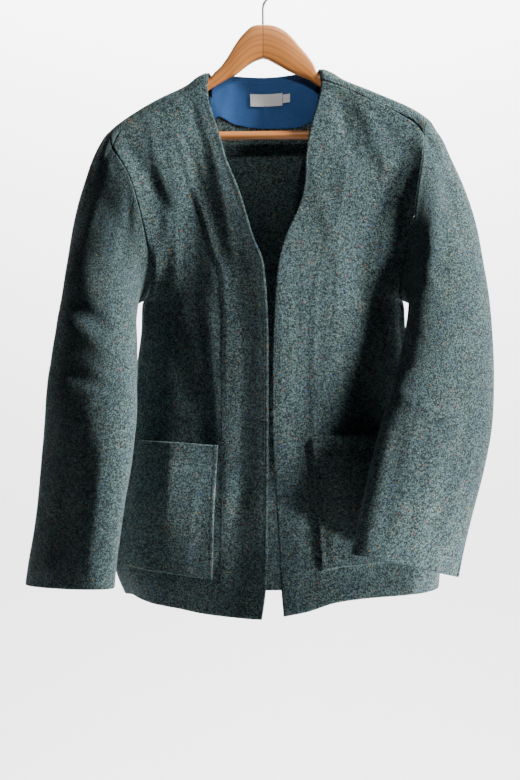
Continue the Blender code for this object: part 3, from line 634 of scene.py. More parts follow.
def meet_at_armhole(side, body, arm, fronts, back):
    """Directions in which the walls of body and sleeve meet at the armhole seam.

    They share one direction, away from the armhole's centre, but at the underarm, where the two
    walls lie face to face, each keeps its own.
    """
    angles, points = sleeve_loop(side, fronts, back)
    centre = sum(points, Vector((0, 0, 0))) / len(points)
    for angle, point in zip(angles, points):
        name = key(point)
        away = point - centre
        away.x = 0
        shared = (body[name] + arm[name]) * 0.4 + away.normalized()
        own = ease((UNDERARM_TURN - abs(angle - 180)) / UNDERARM_TURN * 2)
        body[name], arm[name] = (
            (shared.normalized() * (1 - own) + normals[name] * own).normalized()
            for normals in (body, arm))


def tucked(rows, gaps):
    """Points with their edges drawn in, so that pieces stay apart at seams.

    The gaps are for the first row, last row, first column and last column.
    """
    first_row, last_row, first_column, last_column = gaps
    moved = [[point.copy() for point in row] for row in rows]
    for column in range(len(rows[0])):
        moved[0][column] = slide(moved[0][column], moved[1][column], first_row)
        moved[-1][column] = slide(moved[-1][column], moved[-2][column], last_row)
    for row in moved:
        row[0] = slide(row[0], row[1], first_column)
        row[-1] = slide(row[-1], row[-2], last_column)
    return moved


# Fine sheets of cloth

Sheet = namedtuple("Sheet", "points normals downs acrosses")
FINE = 6
BACK_FINE = 5
RIM_CUTS = (0.03, 0.07, 0.12, 0.24, 0.32)
PATCH_CUTS = (0.05, 0.12, 0.3, 0.6)
ROLL_DEPTH = 0.9
ROLL_WIDTH = 2.6
TOPSTITCH = 5.5
FACING_LINE = 60.0
EDGE_STAND = {"left": 0.0, "right": 9.0}
EDGE_REACH = 48.0
Lean = namedtuple("Lean", "edge height")
LEFT_LEAN = tabled(Lean, (0, 8.5), (12, 6.5), (45, -0.5), (75, -2.5), (150, -7.5))
RIGHT_HOLLOW = 8.0
HEM_TURN = 38.0

# Sewn lines and swells: distance from the edge, width and depth
EDGE_LINE = (TOPSTITCH, 1.0, 0.35)
HEM_LINE = (HEM_TURN, 2.2, 0.35)
CUFF_LINE = (HEM_TURN, 2.2, 0.3)
FACING_GROOVE = (FACING_LINE, 1.6, 0.5)
FACING_SWELL = (FACING_LINE - 6, 4.5, -0.9)


def cuts(cells, fine):
    """Positions of the fine lines over a number of coarse cells, closer together at both ends."""
    places = {step / fine for step in range(cells * fine + 1)}
    for cut in RIM_CUTS:
        places.add(cut)
        places.add(cells - cut)
    return sorted(places)


def spline(points, places):
    """Points at part positions along a smooth curve through the given points."""
    spans = [max((b - a).length, 1e-6) for a, b in zip(points, points[1:])]
    slopes = [(b - a) / span for a, b, span in zip(points, points[1:], spans)]
    inner = []
    for i in range(1, len(points) - 1):
        before, after = spans[i - 1], spans[i]
        inner.append((slopes[i - 1] * after + slopes[i] * before) / (before + after))
    first = (slopes[0] * 3 - inner[0]) / 2
    last = (slopes[-1] * 3 - inner[-1]) / 2
    leads = [first] + inner + [last]
    curve = []
    for at in places:
        i = min(int(at), len(points) - 2)
        t = at - i
        rise = t * t * (3 - 2 * t)
        curve.append(points[i] * (1 - rise) + points[i + 1] * rise
                     + leads[i] * (spans[i] * t * (1 - t) ** 2)
                     - leads[i + 1] * (spans[i] * t * t * (1 - t)))
    return curve


def refine(rows, downs, acrosses):
    """A coarse sheet of points made fine in both directions."""
    wide = [spline(row, acrosses) for row in rows]
    columns = [spline(list(column), downs) for column in zip(*wide)]
    return [list(row) for row in zip(*columns)]


def fine_sheet(rows, normals, fine=FINE):
    """The fine sheet of a panel, with its outward directions."""
    downs = cuts(len(rows) - 1, fine)
    acrosses = cuts(len(rows[0]) - 1, fine)
    directions = [[normals[key(point)] for point in row] for row in rows]
    fine_normals = refine(directions, downs, acrosses)
    fine_normals = [[normal.normalized() for normal in row] for row in fine_normals]
    return Sheet(refine(rows, downs, acrosses), fine_normals, downs, acrosses)


def part_of(sheet, first, last):
    """The columns of a sheet between two coarse positions."""
    keep = [i for i, at in enumerate(sheet.acrosses) if first <= at <= last]
    return Sheet([[row[i] for i in keep] for row in sheet.points],
                 [[row[i] for i in keep] for row in sheet.normals],
                 sheet.downs, [sheet.acrosses[i] for i in keep])


def run_lengths(points):
    """Distance of each point of a line from its start."""
    total = 0.0
    lengths = [0.0]
    for a, b in zip(points, points[1:]):
        total += (b - a).length
        lengths.append(total)
    return lengths


class Distances:
    """How far each point of a sheet lies from its four edges, in millimetres."""

    def __init__(self, sheet):
        self.across = [run_lengths(row) for row in sheet.points]
        down = [run_lengths(column) for column in zip(*sheet.points)]
        self.down = [list(row) for row in zip(*down)]

    def of(self, row, column):
        """Distances from the first column, last column, first row and last row."""
        return (self.across[row][column], self.across[row][-1] - self.across[row][column],
                self.down[row][column], self.down[-1][column] - self.down[row][column])


# Creases: where each starts and ends, its width and how far it stands out or sinks in.
# They are on the cloth's front or back, and a trough is below zero.
Crease = namedtuple("Crease", "x1 drop1 x2 drop2 width height")
BODY_CREASES = {
    "front": tabled(
        Crease, (-183, 232, -120, 322, 11, -2.2), (-150, 205, -128, 300, 8, 1.6),
        (-96, 176, -70, 268, 7, -1.4), (-112, 300, -146, 402, 10, 1.8),
        (-60, 262, -42, 372, 9, 1.3), (-128, 452, -96, 560, 13, -1.8),
        (-70, 470, -58, 612, 9, 1.4), (-34, 520, -40, 700, 7, 1.1),
        (-24, 690, -66, 800, 10, -1.3), (-92, 796, -150, 812, 6, 0.9),
        (96, 160, 112, 232, 9, -1.8), (130, 182, 160, 262, 11, 2.0),
        (182, 246, 150, 330, 9, -1.9), (70, 292, 100, 392, 11, 1.3), (40, 420, 54, 560, 12, -1.1),
        (96, 460, 66, 600, 12, 1.7), (30, 640, 44, 790, 9, 1.0), (62, 800, 150, 796, 7, -0.9)),
    "back": tabled(
        Crease, (-150, 232, -96, 330, 12, -2.1), (-60, 214, -44, 310, 10, 1.6),
        (26, 205, 12, 296, 9, -1.4), (168, 226, 110, 320, 12, 2.0),
        (-130, 410, -60, 470, 14, 1.8), (142, 420, 66, 476, 13, -1.9),
        (-110, 560, -84, 740, 13, -1.6), (6, 520, 22, 730, 12, 1.5), (120, 566, 96, 770, 14, 1.7),
        (-40, 650, -58, 812, 10, 1.2), (168, 610, 176, 780, 11, -1.3)),
}
SLEEVE_CREASES = {
    "left": {
        "front": tabled(
            Crease, (-196, 250, -230, 352, 9, 1.7), (-268, 390, -292, 760, 17, 3.2),
            (-250, 520, -270, 780, 12, 2.2), (-170, 300, -182, 396, 8, -1.7),
            (-262, 430, -205, 474, 8, -2.1), (-252, 470, -176, 520, 9, 1.9),
            (-268, 524, -196, 556, 8, -1.7), (-178, 566, -238, 600, 9, 1.3),
            (-236, 610, -258, 742, 11, -1.5), (-202, 640, -214, 770, 10, 1.6),
            (-276, 640, -288, 730, 8, 1.2)),
        "back": tabled(
            Crease, (-216, 262, -246, 360, 10, -1.8), (-262, 452, -196, 500, 10, 1.9),
            (-250, 520, -180, 560, 9, -2.0), (-230, 600, -252, 740, 12, 1.6),
            (-196, 630, -206, 760, 9, -1.2)),
    },
    "right": {
        "front": tabled(
            Crease, (230, 240, 216, 390, 12, 4.5), (236, 282, 262, 372, 8, -1.5),
            (190, 352, 236, 420, 9, -1.7), (286, 436, 206, 478, 8, 2.1),
            (290, 482, 180, 530, 9, -2.2), (292, 532, 214, 560, 8, 1.7),
            (170, 560, 250, 606, 10, 1.5), (264, 580, 226, 700, 11, -1.5),
            (170, 622, 150, 736, 10, -1.4), (214, 650, 190, 762, 9, 1.3)),
        "back": tabled(
            Crease, (240, 262, 266, 362, 10, -1.7), (286, 450, 208, 500, 10, 2.0),
            (276, 530, 190, 566, 9, -1.9), (240, 604, 206, 742, 12, 1.5),
            (180, 610, 160, 730, 9, -1.2)),
    },
}
CREASE_TAPER = 3.0
CREASE_CALM = 2 * HEM_TURN / 3


def crease_height(creases, point, normal):
    """How far the creases lift or sink the cloth at a point."""
    face = "front" if normal.y < 0 else "back"
    height = 0.0
    for crease in creases.get(face, ()):
        run_x = crease.x2 - crease.x1
        run_drop = crease.drop2 - crease.drop1
        run = math.hypot(run_x, run_drop)
        from_x = point.x - crease.x1
        from_drop = -point.z - crease.drop1
        along = (from_x * run_x + from_drop * run_drop) / run / run
        aside = (from_x * run_drop - from_drop * run_x) / run
        if -0.3 < along < 1.3 and abs(aside) < crease.width * 3:
            ends = ease((along + 0.3) * CREASE_TAPER) * ease((1.3 - along) * CREASE_TAPER)
            height += crease.height * ends * math.exp(-(aside / crease.width) ** 2)
    return height * min(1.0, abs(normal.y) * 2)


def turn_in(distance, width):
    """One at an edge, falling to nought at a width from it."""
    return max(0.0, 1 - distance / width) ** 2


def rolled(*edges):
    """How far the cloth turns in at its seams and folded edges."""
    return sum(-ROLL_DEPTH * turn_in(distance, ROLL_WIDTH) for distance in edges)


def groove(distance, at, width, depth):
    """A sewn line or a soft ridge beside it, at a distance from an edge."""
    return -depth * math.exp(-((distance - at) / width) ** 2)


def raised(sheet, creases, height):
    """The sheet with its points moved out.

    The height is worked out from the creases' own height and from the distances to the first and
    last column and row.
    """
    far = Distances(sheet)
    points = []
    for row, (line, normals) in enumerate(zip(sheet.points, sheet.normals)):
        points.append([
            point + normal * height(crease_height(creases, point, normal), far.of(row, column))
            for column, (point, normal) in enumerate(zip(line, normals))])
    return sheet._replace(points=points)


def lifted(sheet, creases, relief):
    """A panel with the relief of its edges and sewing, and with creases that die out there."""
    return raised(sheet, creases, lambda crease, edges:
                  crease * ease(min(edges) / CREASE_CALM) + relief(*edges))


def grain(sheet, middle, widthwise=False):
    """Where each point of a sheet lay on the uncut cloth, in metres.

    The grain runs down the sheet, and the given column is the one that lay straight.
    """
    rows = []
    down = [run_lengths([Vector((0, p.y, p.z)) for p in column]) for column in zip(*sheet.points)]
    for number, line in enumerate(sheet.points):
        across = run_lengths([Vector((p.x, p.y, 0)) if not widthwise else p for p in line])
        start = line[middle].x if not widthwise else 0.0
        hand = 1.0 if line[-1].x > line[0].x or widthwise else -1.0
        rows.append([((start + hand * (across[i] - across[middle])) * MM,
                      (down[i][number] - sheet.points[0][i].z) * MM) for i in range(len(line))])
    return rows


def wall_between(name, outer, inner, places):
    """A mesh for a wall of cloth between two sheets of points, with its own grain as a UV map."""
    rows = len(outer) - 1
    columns = len(outer[0]) - 1
    bm = bmesh.new()
    bmesh.ops.create_grid(bm, x_segments=columns, y_segments=rows, size=1.0)
    row_of = bm.verts.layers.int.new("row")
    column_of = bm.verts.layers.int.new("column")
    for vert in bm.verts:
        vert[column_of] = round((vert.co.x + 1) / 2 * columns)
        vert[row_of] = round((vert.co.y + 1) / 2 * rows)
    extruded = bmesh.ops.extrude_face_region(bm, geom=bm.faces[:])
    raised = {item for item in extruded["geom"] if isinstance(item, bmesh.types.BMVert)}
    for vert in bm.verts:
        sheet = inner if vert in raised else outer
        vert.co = sheet[vert[row_of]][vert[column_of]] * MM
    grain_map = bm.loops.layers.uv.new("grain")
    for face in bm.faces:
        for loop in face.loops:
            loop[grain_map].uv = places[loop.vert[row_of]][loop.vert[column_of]]
    bmesh.ops.recalc_face_normals(bm, faces=bm.faces[:])
    return new_piece(name, bm)


def new_piece(name, bm, smooth_to=50.0):
    """The mesh as a named object at the origin, shaded smooth."""
    mesh = bpy.data.meshes.new(name)
    bm.to_mesh(mesh)
    bm.free()
    mesh.shade_smooth()
    mesh.set_sharp_from_angle(angle=math.radians(smooth_to))
    piece = bpy.data.objects.new(name, mesh)
    bpy.context.scene.collection.objects.link(piece)
    return piece


def thicken(sheet, thickness, gaps, shift=0.0):
    """Outer and inner points of a wall whose outer face is the sheet, its edges drawn in."""
    outer = tucked(sheet.points, gaps)
    for row, down in enumerate(sheet.downs):
        if shift and down < 0.5:
            away = Vector((shift * (1 - down / 0.5), 0, 0))
            outer[row] = [point + away for point in outer[row]]
    return outer, sunk(outer, sheet.normals, thickness)


def sunk(points, normals, thickness):
    """Points of a wall's other face."""
    return [[point - normal * thickness for point, normal in zip(line, directions)]
            for line, directions in zip(points, normals)]


def laid_wall(name, sheet, thickness):
    """The wall of a sheet that lies on another one."""
    inner = sunk(sheet.points, sheet.normals, thickness)
    return wall_between(name, sheet.points, inner, grain(sheet, 0))


def sheet_size(sheet):
    """The flat width, length and area of a sheet's cut, in metres."""
    width = max(run_lengths(row)[-1] for row in sheet.points) * MM
    length = max(run_lengths(column)[-1] for column in zip(*sheet.points)) * MM
    area = 0.0
    points = sheet.points
    for row in range(len(points) - 1):
        for column in range(len(points[0]) - 1):
            one = points[row + 1][column + 1] - points[row][column]
            other = points[row + 1][column] - points[row][column + 1]
            area += one.cross(other).length / 2
    return width, length, area * MM * MM


def dress(piece, node, material):
    """A piece that stands for a solid, with its finish."""
    piece.data.materials.append(material)
    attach(piece, "root")
    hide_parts(node)
    return piece


def hang(piece, sheet, node, material):
    """A panel of cloth that stands for its solid. The size that it was cut to is worked out but
    not used.
    """
    dress(piece, node, material)
    width, length, area = sheet_size(sheet)
    area = min(area, width * length)
    return piece


# Points on a fine sheet

def at_place(sheet, row, column, out):
    """A point of a fine sheet at a part row and column, moved out from it, and its direction."""
    r = min(max(int(row), 0), len(sheet.points) - 2)
    c = min(max(int(column), 0), len(sheet.points[0]) - 2)
    point = Vector((0, 0, 0))
    normal = Vector((0, 0, 0))
    for i, down in ((0, 1 - (row - r)), (1, row - r)):
        for j, over in ((0, 1 - (column - c)), (1, column - c)):
            point += sheet.points[r + i][c + j] * down * over
            normal += sheet.normals[r + i][c + j] * down * over
    normal.normalize()
    return point + normal * out, normal


def line_index(places, at):
    """The part index of a value among rising ones."""
    for i in range(len(places) - 1):
        if places[i] <= at <= places[i + 1]:
            return i + (at - places[i]) / (places[i + 1] - places[i])
    return float(len(places) - 1)


def at_distance(lengths, distance, from_end=False):
    """The part index at a distance along a line of running lengths."""
    return line_index(lengths, lengths[-1] - distance if from_end else distance)


# The jacket's sheets, worked out once

@lru_cache(maxsize=None)
def coarse_form():
    """Points and outward directions of every panel, as in the solids."""
    fronts = {side: front_panel(side) for side in SIDES}
    back = back_panel(fronts)
    rings = {}
    for side in SIDES:
        top, under = sleeve(side, fronts, back)
        rings[side] = [a + b[1:] for a, b in zip(top, under)]
    normals = seam_normals([(fronts["left"], 1), (fronts["right"], -1), (back, 1)])
    arms = {}
    for side in SIDES:
        hand = -1 if side == "left" else 1
        arms[side] = seam_normals([(rings[side], hand)])
        meet_at_armhole(side, normals, arms[side], fronts, back)
    return fronts, back, rings, normals, arms


@lru_cache(maxsize=None)
def front_sheet(side):
    """The fine sheet of a front, with its creases, edges and sewn lines."""
    fronts, _, _, normals, _ = coarse_form()

    def relief(edge, armhole_edge, shoulder, hem):
        sewn = groove(edge, *EDGE_LINE) + groove(hem, *HEM_LINE)
        facing_edge = groove(edge, *FACING_GROOVE) + groove(edge, *FACING_SWELL)
        reach = math.exp(-(edge / EDGE_REACH) ** 2)
        proud = EDGE_STAND[side] * reach * grown(shoulder, 170, 120)
        if side == "left":
            lean = read(LEFT_LEAN, edge, "height")
            proud += lean * grown(armhole_edge, 0, 30) * grown(shoulder, 40, 120)
        else:
            hollow = grown(armhole_edge, 0, 14) * (1 - grown(armhole_edge, 55, 50))
            proud -= RIGHT_HOLLOW * hollow * grown(shoulder, 50, 80) * grown(hem, 30, 150)
        return (rolled(edge, armhole_edge, shoulder, hem) + sewn + proud
                + facing_edge * grown(shoulder, 0, 80) * grown(hem, 0, 30))

    return lifted(fine_sheet(fronts[side], normals), BODY_CREASES, relief)


@lru_cache(maxsize=None)
def back_sheet():
    """The fine sheet of the back, over both shoulders."""
    _, back, _, normals, _ = coarse_form()

    def relief(left, right, top, hem):
        return rolled(left, right, top, hem) + groove(hem, *HEM_LINE)

    return lifted(fine_sheet(back, normals, BACK_FINE), BODY_CREASES, relief)


@lru_cache(maxsize=None)
def sleeve_sheets(side):
    """The fine sheets of a sleeve's top and under piece."""
    _, _, rings, _, arms = coarse_form()
    whole = fine_sheet(rings[side], arms[side])
    seam = float(RIDGE_ROWS + ARM_ROWS)
    top = part_of(whole, 0.0, seam)
    under = part_of(whole, seam, float(len(rings[side][0]) - 1))

    def relief(first, last, head, cuff):
        return rolled(first, last, head, cuff) + groove(cuff, *CUFF_LINE)

    creases = SLEEVE_CREASES[side]
    return lifted(top, creases, relief), lifted(under, creases, relief)


# Pieces that lie on a panel


def find_column(rows, row, across):
    """The part column of a row where the panel is at a place across."""
    for column in range(len(rows[0]) - 1):
        here = on_row(rows, row, column).x
        there = on_row(rows, row, column + 1).x
        if min(here, there) <= across <= max(here, there) and here != there:
            return column + (across - here) / (there - here)
    return float(len(rows[0]) - 1)


def on_row(rows, row, column):
    """A panel's point at a part row and a whole column."""
    r = min(int(row), len(rows) - 2)
    return rows[r][column].lerp(rows[r + 1][column], row - r)


def find_row(rows, across, drop):
    """The part row of a panel whose point at a place across has a given drop."""
    low, high = 0.0, float(len(rows) - 1)
    for _ in range(SEARCHES):
        row = (low + high) / 2
        column = find_column(rows, row, across)
        c = min(int(column), len(rows[0]) - 2)
        point = on_row(rows, row, c).lerp(on_row(rows, row, c + 1), column - c)
        if -point.z < drop:
            low = row
        else:
            high = row
    return (low + high) / 2


def steps(low, high, count):
    """Even positions between two values, closer together at both ends."""
    inside = [mix(low, high, i / count) for i in range(count + 1)]
    span = (high - low) / count
    for share in PATCH_CUTS:
        inside += [low + span * share, high - span * share]
    return sorted(inside)


def patch(sheet, downs, acrosses, spot):
    """A sheet laid on another one: spot gives a place's part row, part column and height."""
    points = []
    normals = []
    for down in downs:
        spots = []
        for across in acrosses:
            row, column, out = spot(down, across)
            spots.append(at_place(sheet, line_index(sheet.downs, row),
                                  line_index(sheet.acrosses, column), out))
        points.append([point for point, _ in spots])
        normals.append([normal for _, normal in spots])
    return Sheet(points, normals, downs, acrosses)


POCKET_CREASES = {
    "left": {
        "front": tabled(
            Crease, (-160, 636, -96, 652, 8, -0.9), (-84, 660, -96, 770, 9, 1.0),
            (-150, 690, -140, 780, 8, -0.9), (-118, 640, -124, 720, 7, 0.8)),
    },
    "right": {
        "front": tabled(
            Crease, (92, 628, 160, 640, 8, -0.9), (96, 660, 88, 768, 9, 1.0),
            (136, 668, 128, 770, 8, -0.8), (170, 640, 176, 750, 9, 0.9)),
    },
}
POCKET_ROLL = 1.1
POCKET_TURN = 2.4
MOUTH_TURN = 2.0
POCKET_STITCH = 4.2
POCKET_LINE = (POCKET_STITCH, 0.9, 0.4)
MOUTH_LINE = (22.0, 2.0, 0.35)


@lru_cache(maxsize=None)
def pocket_sheet(side):
    """The outer face of a patch pocket, on its front."""
    fronts = coarse_form()[0][side]
    cut = POCKET[side]
    across = (cut.inner + cut.outer) / 2
    mouth = find_row(fronts, across, cut.mouth)
    foot = find_row(fronts, across, cut.foot)
    middle = (mouth + foot) / 2
    first = find_column(fronts, middle, cut.inner)
    last = find_column(fronts, middle, cut.outer)

    def spot(row, column):
        down = (row - mouth) / (foot - mouth)
        over = (column - first) / (last - first)
        gape = POCKET_GAPE * math.sin(math.pi * over) * (1 - down ** 2)
        return row, column, SEAM_GAP + POCKET_LIFT + gape + POCKET_WALL

    def relief(left, right, top, bottom):
        sides = (left, right, bottom)
        turned = sum(turn_in(edge, POCKET_TURN) for edge in sides) + turn_in(top, MOUTH_TURN)
        sewn = sum(groove(edge, *POCKET_LINE) for edge in sides)
        return -POCKET_ROLL * turned + sewn + groove(top, *MOUTH_LINE)

    sheet = patch(front_sheet(side), steps(mouth, foot, 46), steps(first, last, 40), spot)
    return raised(sheet, POCKET_CREASES[side], lambda crease, edges: relief(*edges) + crease)


FACING_CREASES = {
    "back": tabled(
        Crease, (2, 178, 5, 212, 4, 1.6), (-8, 186, -12, 212, 5, -1.2),
        (-46, 158, -52, 192, 7, 0.9), (50, 156, 60, 192, 7, 0.9), (26, 186, 34, 208, 6, -0.9)),
}
FACING_FIRST = FRONT_COLUMNS + TURN_COLUMNS + 1
FACING_STITCH = 6.2
NECK_LINE = (FACING_STITCH, 0.9, 0.28)
LABEL_STITCH = 1.4
FACING_SIDE = 2.6
FACING_BELOW = 0.6


def facing_end(back, column):
    """The part row of the back where the facing ends at a whole column."""
    drop = read(FACING_LOWER, back[RIDGE_ROWS][column].x, "drop")
    for row in range(1, len(back) - 1):
        here = -back[row][column].z
        there = -back[row + 1][column].z
        if here <= drop <= there:
            return row + (drop - here) / (there - here)
    return 0.0


@lru_cache(maxsize=None)
def facing_sheet():
    """The face of the cotton facing that lies on the back's inside."""
    back = coarse_form()[1]
    columns = range(FACING_FIRST, len(back[0]) - FACING_FIRST)
    ends = [Vector((facing_end(back, column), 0, 0)) for column in columns]
    last = len(ends) - 1
    across = steps(-FACING_SIDE, last + FACING_SIDE, 70)
    curve = spline(ends, [min(max(at, 0.0), last - 1e-6) for at in across])
    lower = dict(zip(across, curve))

    def spot(share, at):
        beside = ease(max(-at, at - last) / FACING_SIDE * 2)
        start = mix(FACING_START, RIDGE_ROWS + FACING_BELOW, beside)
        return mix(start, lower[at].x, share), at + FACING_FIRST, -(TWEED + LINING_GAP)

    def height(crease, edges):
        turned = 0.3 * turn_in(min(edges), 2.0)
        return (turned - groove(edges[2], *NECK_LINE)) * 0.5 - max(0.0, crease)

    return raised(patch(back_sheet(), steps(0, 1, 44), across, spot), FACING_CREASES, height)


@lru_cache(maxsize=None)
def label_sheet(name):
    """The face of the label or its tab that lies on the facing."""
    left, right, top, bottom = LABEL[name]
    back = coarse_form()[1]
    middle = find_row(back, (left + right) / 2, (top + bottom) / 2)
    first = find_column(back, middle, left)
    last = find_column(back, middle, right)
    start = find_row(back, (left + right) / 2, top)
    end = find_row(back, (left + right) / 2, bottom)
    depth = -(TWEED + COTTON + 2 * LINING_GAP)
    return patch(back_sheet(), steps(start, end, 10), steps(first, last, 16),
                 lambda row, column: (row, column, depth))


# Sewing

Sewn = namedtuple("Sewn", "pitch length width height sink")
TOPSTITCHES = Sewn(4.4, 3.1, 0.85, 0.6, 0.1)
FINE_STITCHES = Sewn(3.2, 2.3, 0.6, 0.45, 0.05)


def stitch_line(bm, spots, sewn):
    """Lozenges of thread at even steps along a line of places and directions."""
    lengths = run_lengths([point for point, _ in spots])
    count = int(lengths[-1] / sewn.pitch)
    at = 0
    for number in range(count):
        target = (number + 0.5) * sewn.pitch
        while at < len(spots) - 2 and lengths[at + 1] < target:
            at += 1
        share = (target - lengths[at]) / max(lengths[at + 1] - lengths[at], 1e-6)
        point = spots[at][0].lerp(spots[at + 1][0], share)
        up = spots[at][1].lerp(spots[at + 1][1], share).normalized()
        along = (spots[at + 1][0] - spots[at][0]).normalized()
        aside = up.cross(along).normalized()
        up = along.cross(aside)
        turn = Matrix((along * sewn.length / 2, aside * sewn.width / 2, up * sewn.height / 2))
        turn = turn.transposed().to_4x4()
        middle = point + up * (sewn.height / 2 - sewn.sink)
        matrix = Matrix.Translation(middle * MM) @ Matrix.Scale(MM, 4) @ turn
        bmesh.ops.create_icosphere(bm, subdivisions=1, radius=1.0, matrix=matrix)


def sewing_piece(name, lines, sewn, material):
    """All stitches of a kind as one piece."""
    bm = bmesh.new()
    for spots in lines:
        stitch_line(bm, spots, sewn)
    piece = new_piece(name, bm, 180.0)
    piece.data.materials.append(material)
    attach(piece, "root")
    return piece


def line_down(sheet, distance, rows, from_end=False, out=0.0):
    """Places down a sheet at a distance from its first or last column."""
    columns = [at_distance(run_lengths(sheet.points[row]), distance, from_end) for row in rows]
    return [at_place(sheet, row, column, out) for row, column in zip(rows, columns)]


def line_across(sheet, distance, columns, from_end=False, out=0.0):
    """Places across a sheet at a distance from its first or last row."""
    lines = list(zip(*sheet.points))
    rows = [at_distance(run_lengths(lines[column]), distance, from_end) for column in columns]
    return [at_place(sheet, row, column, out) for row, column in zip(rows, columns)]


def turned_over(sheet):
    """The sheet seen from its other face."""
    return sheet._replace(normals=[[-normal for normal in line] for line in sheet.normals])


def rows_between(sheet, from_top, from_foot):
    """The rows of a sheet that lie further than two distances from its first and last row."""
    lengths = run_lengths([row[0] for row in sheet.points])
    return [i for i, at in enumerate(lengths) if from_top <= at <= lengths[-1] - from_foot]


# Hanger

ARM_ROW_CUTS = 5
CORNER_CUTS = 4
TIP_CUTS = (0.25, 0.5, 0.75, 0.9, 1.0)


def arm_rows(side):
    """Sections of a wooden arm from the middle to its tip: its top follows the cloth."""
    sign = -1 if side == "left" else 1
    face = BAR_FACE[side]
    rows = [Vector(row) for row in ARM_HEAD[side]]
    rows[0].x = sign * SEAM_TUCK / 3
    across = rows[-1].x + sign * ARM_STEP
    while abs(across) < abs(face) - ARM_STEP / 2:
        top = ridge(across) + WOOD_UNDER_CLOTH
        rows.append(Vector((across, top, top + ARM_HEIGHT)))
        across += sign * ARM_STEP
    top = ridge(face) + WOOD_UNDER_CLOTH
    rows.append(Vector((face, top, top + ARM_FACE_HEIGHT)))
    smooth = spline(rows, [i / ARM_ROW_CUTS for i in range((len(rows) - 1) * ARM_ROW_CUTS + 1)])
    foot = BAR_DROP[side] + BAR_COVER
    smooth.append(Vector((face + sign * ARM_FACE_SLANT, top, foot)))
    end = ARM_REACH[side]
    tip = Vector((end, ridge(end) + WOOD_UNDER_CLOTH, foot - WOOD_EDGE))
    return smooth + [smooth[-1].lerp(tip, share) for share in TIP_CUTS]


def arm_section(row):
    """The rounded section of an arm, with its height in the section for the grain."""
    half = WOOD / 2
    flat = half - WOOD_EDGE
    soft = WOOD_EDGE * 0.8
    points = []
    for corner in range(4):
        for cut in range(CORNER_CUTS + 1):
            turn = math.radians(90 * (corner + cut / CORNER_CUTS))
            right = 1 if corner in (0, 3) else -1
            depth = right * -flat + (-math.cos(turn)) * WOOD_EDGE
            upper = corner in (0, 1)
            radius = WOOD_EDGE if upper else soft
            level = row.y + radius if upper else row.z - radius
            points.append(place(row.x, depth, level - math.sin(turn) * radius))
    return points


def loft(name, sections, runs, heights):
    """A closed body through rings of points, with its grain as a UV map."""
    bm = bmesh.new()
    corner_of = bm.verts.layers.int.new("corner")
    ring_of = bm.verts.layers.int.new("ring")
    circle = bmesh.ops.create_circle(bm, segments=len(sections[0]), radius=1.0)
    for corner, vert in enumerate(circle["verts"]):
        vert[corner_of] = corner
        vert.co = sections[0][corner] * MM
    edges = bm.edges[:]
    for number, section in enumerate(sections[1:], start=1):
        moved = bmesh.ops.extrude_edge_only(bm, edges=edges)["geom"]
        verts = {item for item in moved if isinstance(item, bmesh.types.BMVert)}
        edges = [item for item in moved if isinstance(item, bmesh.types.BMEdge)
                 and all(vert in verts for vert in item.verts)]
        for vert in verts:
            vert.co = section[vert[corner_of]] * MM
            vert[ring_of] = number
    bmesh.ops.holes_fill(bm, edges=bm.edges[:])
    grain_map = bm.loops.layers.uv.new("grain")
    for face in bm.faces:
        for item in face.loops:
            run = runs[item.vert[ring_of]] * MM
            item[grain_map].uv = (run, heights(item.vert.co, item.vert[ring_of]))
    bmesh.ops.recalc_face_normals(bm, faces=bm.faces[:])
    return new_piece(name, bm)


def hanger_arm(side, material):
    """A wooden arm, its section carried from the middle joint to the tip."""
    rows = arm_rows(side)
    runs = run_lengths([Vector((row.x, (row.y + row.z) / 2, 0)) for row in rows])
    middles = [-(row.y + row.z) / 2 * MM for row in rows]
    piece = loft("wood_arm_" + side, [arm_section(row) for row in rows], runs,
                 lambda spot, ring: spot.z - middles[ring])
    return dress(piece, "hanger_arm_" + side, material)


def rod(name, points, radius, corners, rounding=0):
    """A round rod through points of the hanger's plane, closed, its last end rounded."""
    rings = []
    for number, point in enumerate(points):
        before = points[max(number - 1, 0)]
        after = points[min(number + 1, len(points) - 1)]
        along = (after - before).normalized()
        rings.append((point, along.cross(Vector((0, 1, 0))), radius))
    for step in range(1, rounding + 1):
        turn = math.pi / 2 * step / (rounding + 1)
        rings.append((points[-1] + along * radius * math.sin(turn), rings[-1][1],
                      radius * math.cos(turn)))
    sections = []
    for point, aside, size in rings:
        turns = [2 * math.pi * corner / corners for corner in range(corners)]
        sections.append([point + aside * math.cos(turn) * size
                         + Vector((0, math.sin(turn) * size, 0)) for turn in turns])
    runs = run_lengths([ring[0] for ring in rings])
    return loft(name, sections, runs, lambda spot, ring: spot.z - rings[ring][0].z * MM)


def hook_points():
    """The wire's middle line: a straight neck, a bend to the side and a loop over the rail."""
    bend = HOOK_RADIUS + WIRE_RADIUS
    neck = [place(row.across, 0, row.drop) for row in HOOK_NECK]
    points = spline(neck, [i / 4 for i in range((len(neck) - 1) * 4 + 1)])
    for step in range(HOOK_STEPS * 4 + 1):
        turn = math.radians(mix(HOOK_START, HOOK_END, step / HOOK_STEPS / 4))
        points.append(place(bend * math.cos(turn), 0, HOOK_RADIUS - bend * math.sin(turn)))
    return points


# Finishes

COTTON_RELIEF = 0.00012
WOOD_RELIEF = 0.00006
JOINT_FOOT = -0.14
FLECK_COLOURS = [(0.0, (0.42, 0.035, 0.02)), (0.18, (0.5, 0.16, 0.03)), (0.34, (0.03, 0.1, 0.4)),
                 (0.5, (0.42, 0.38, 0.28)), (0.66, (0.06, 0.2, 0.05)), (0.8, (0.45, 0.3, 0.05))]


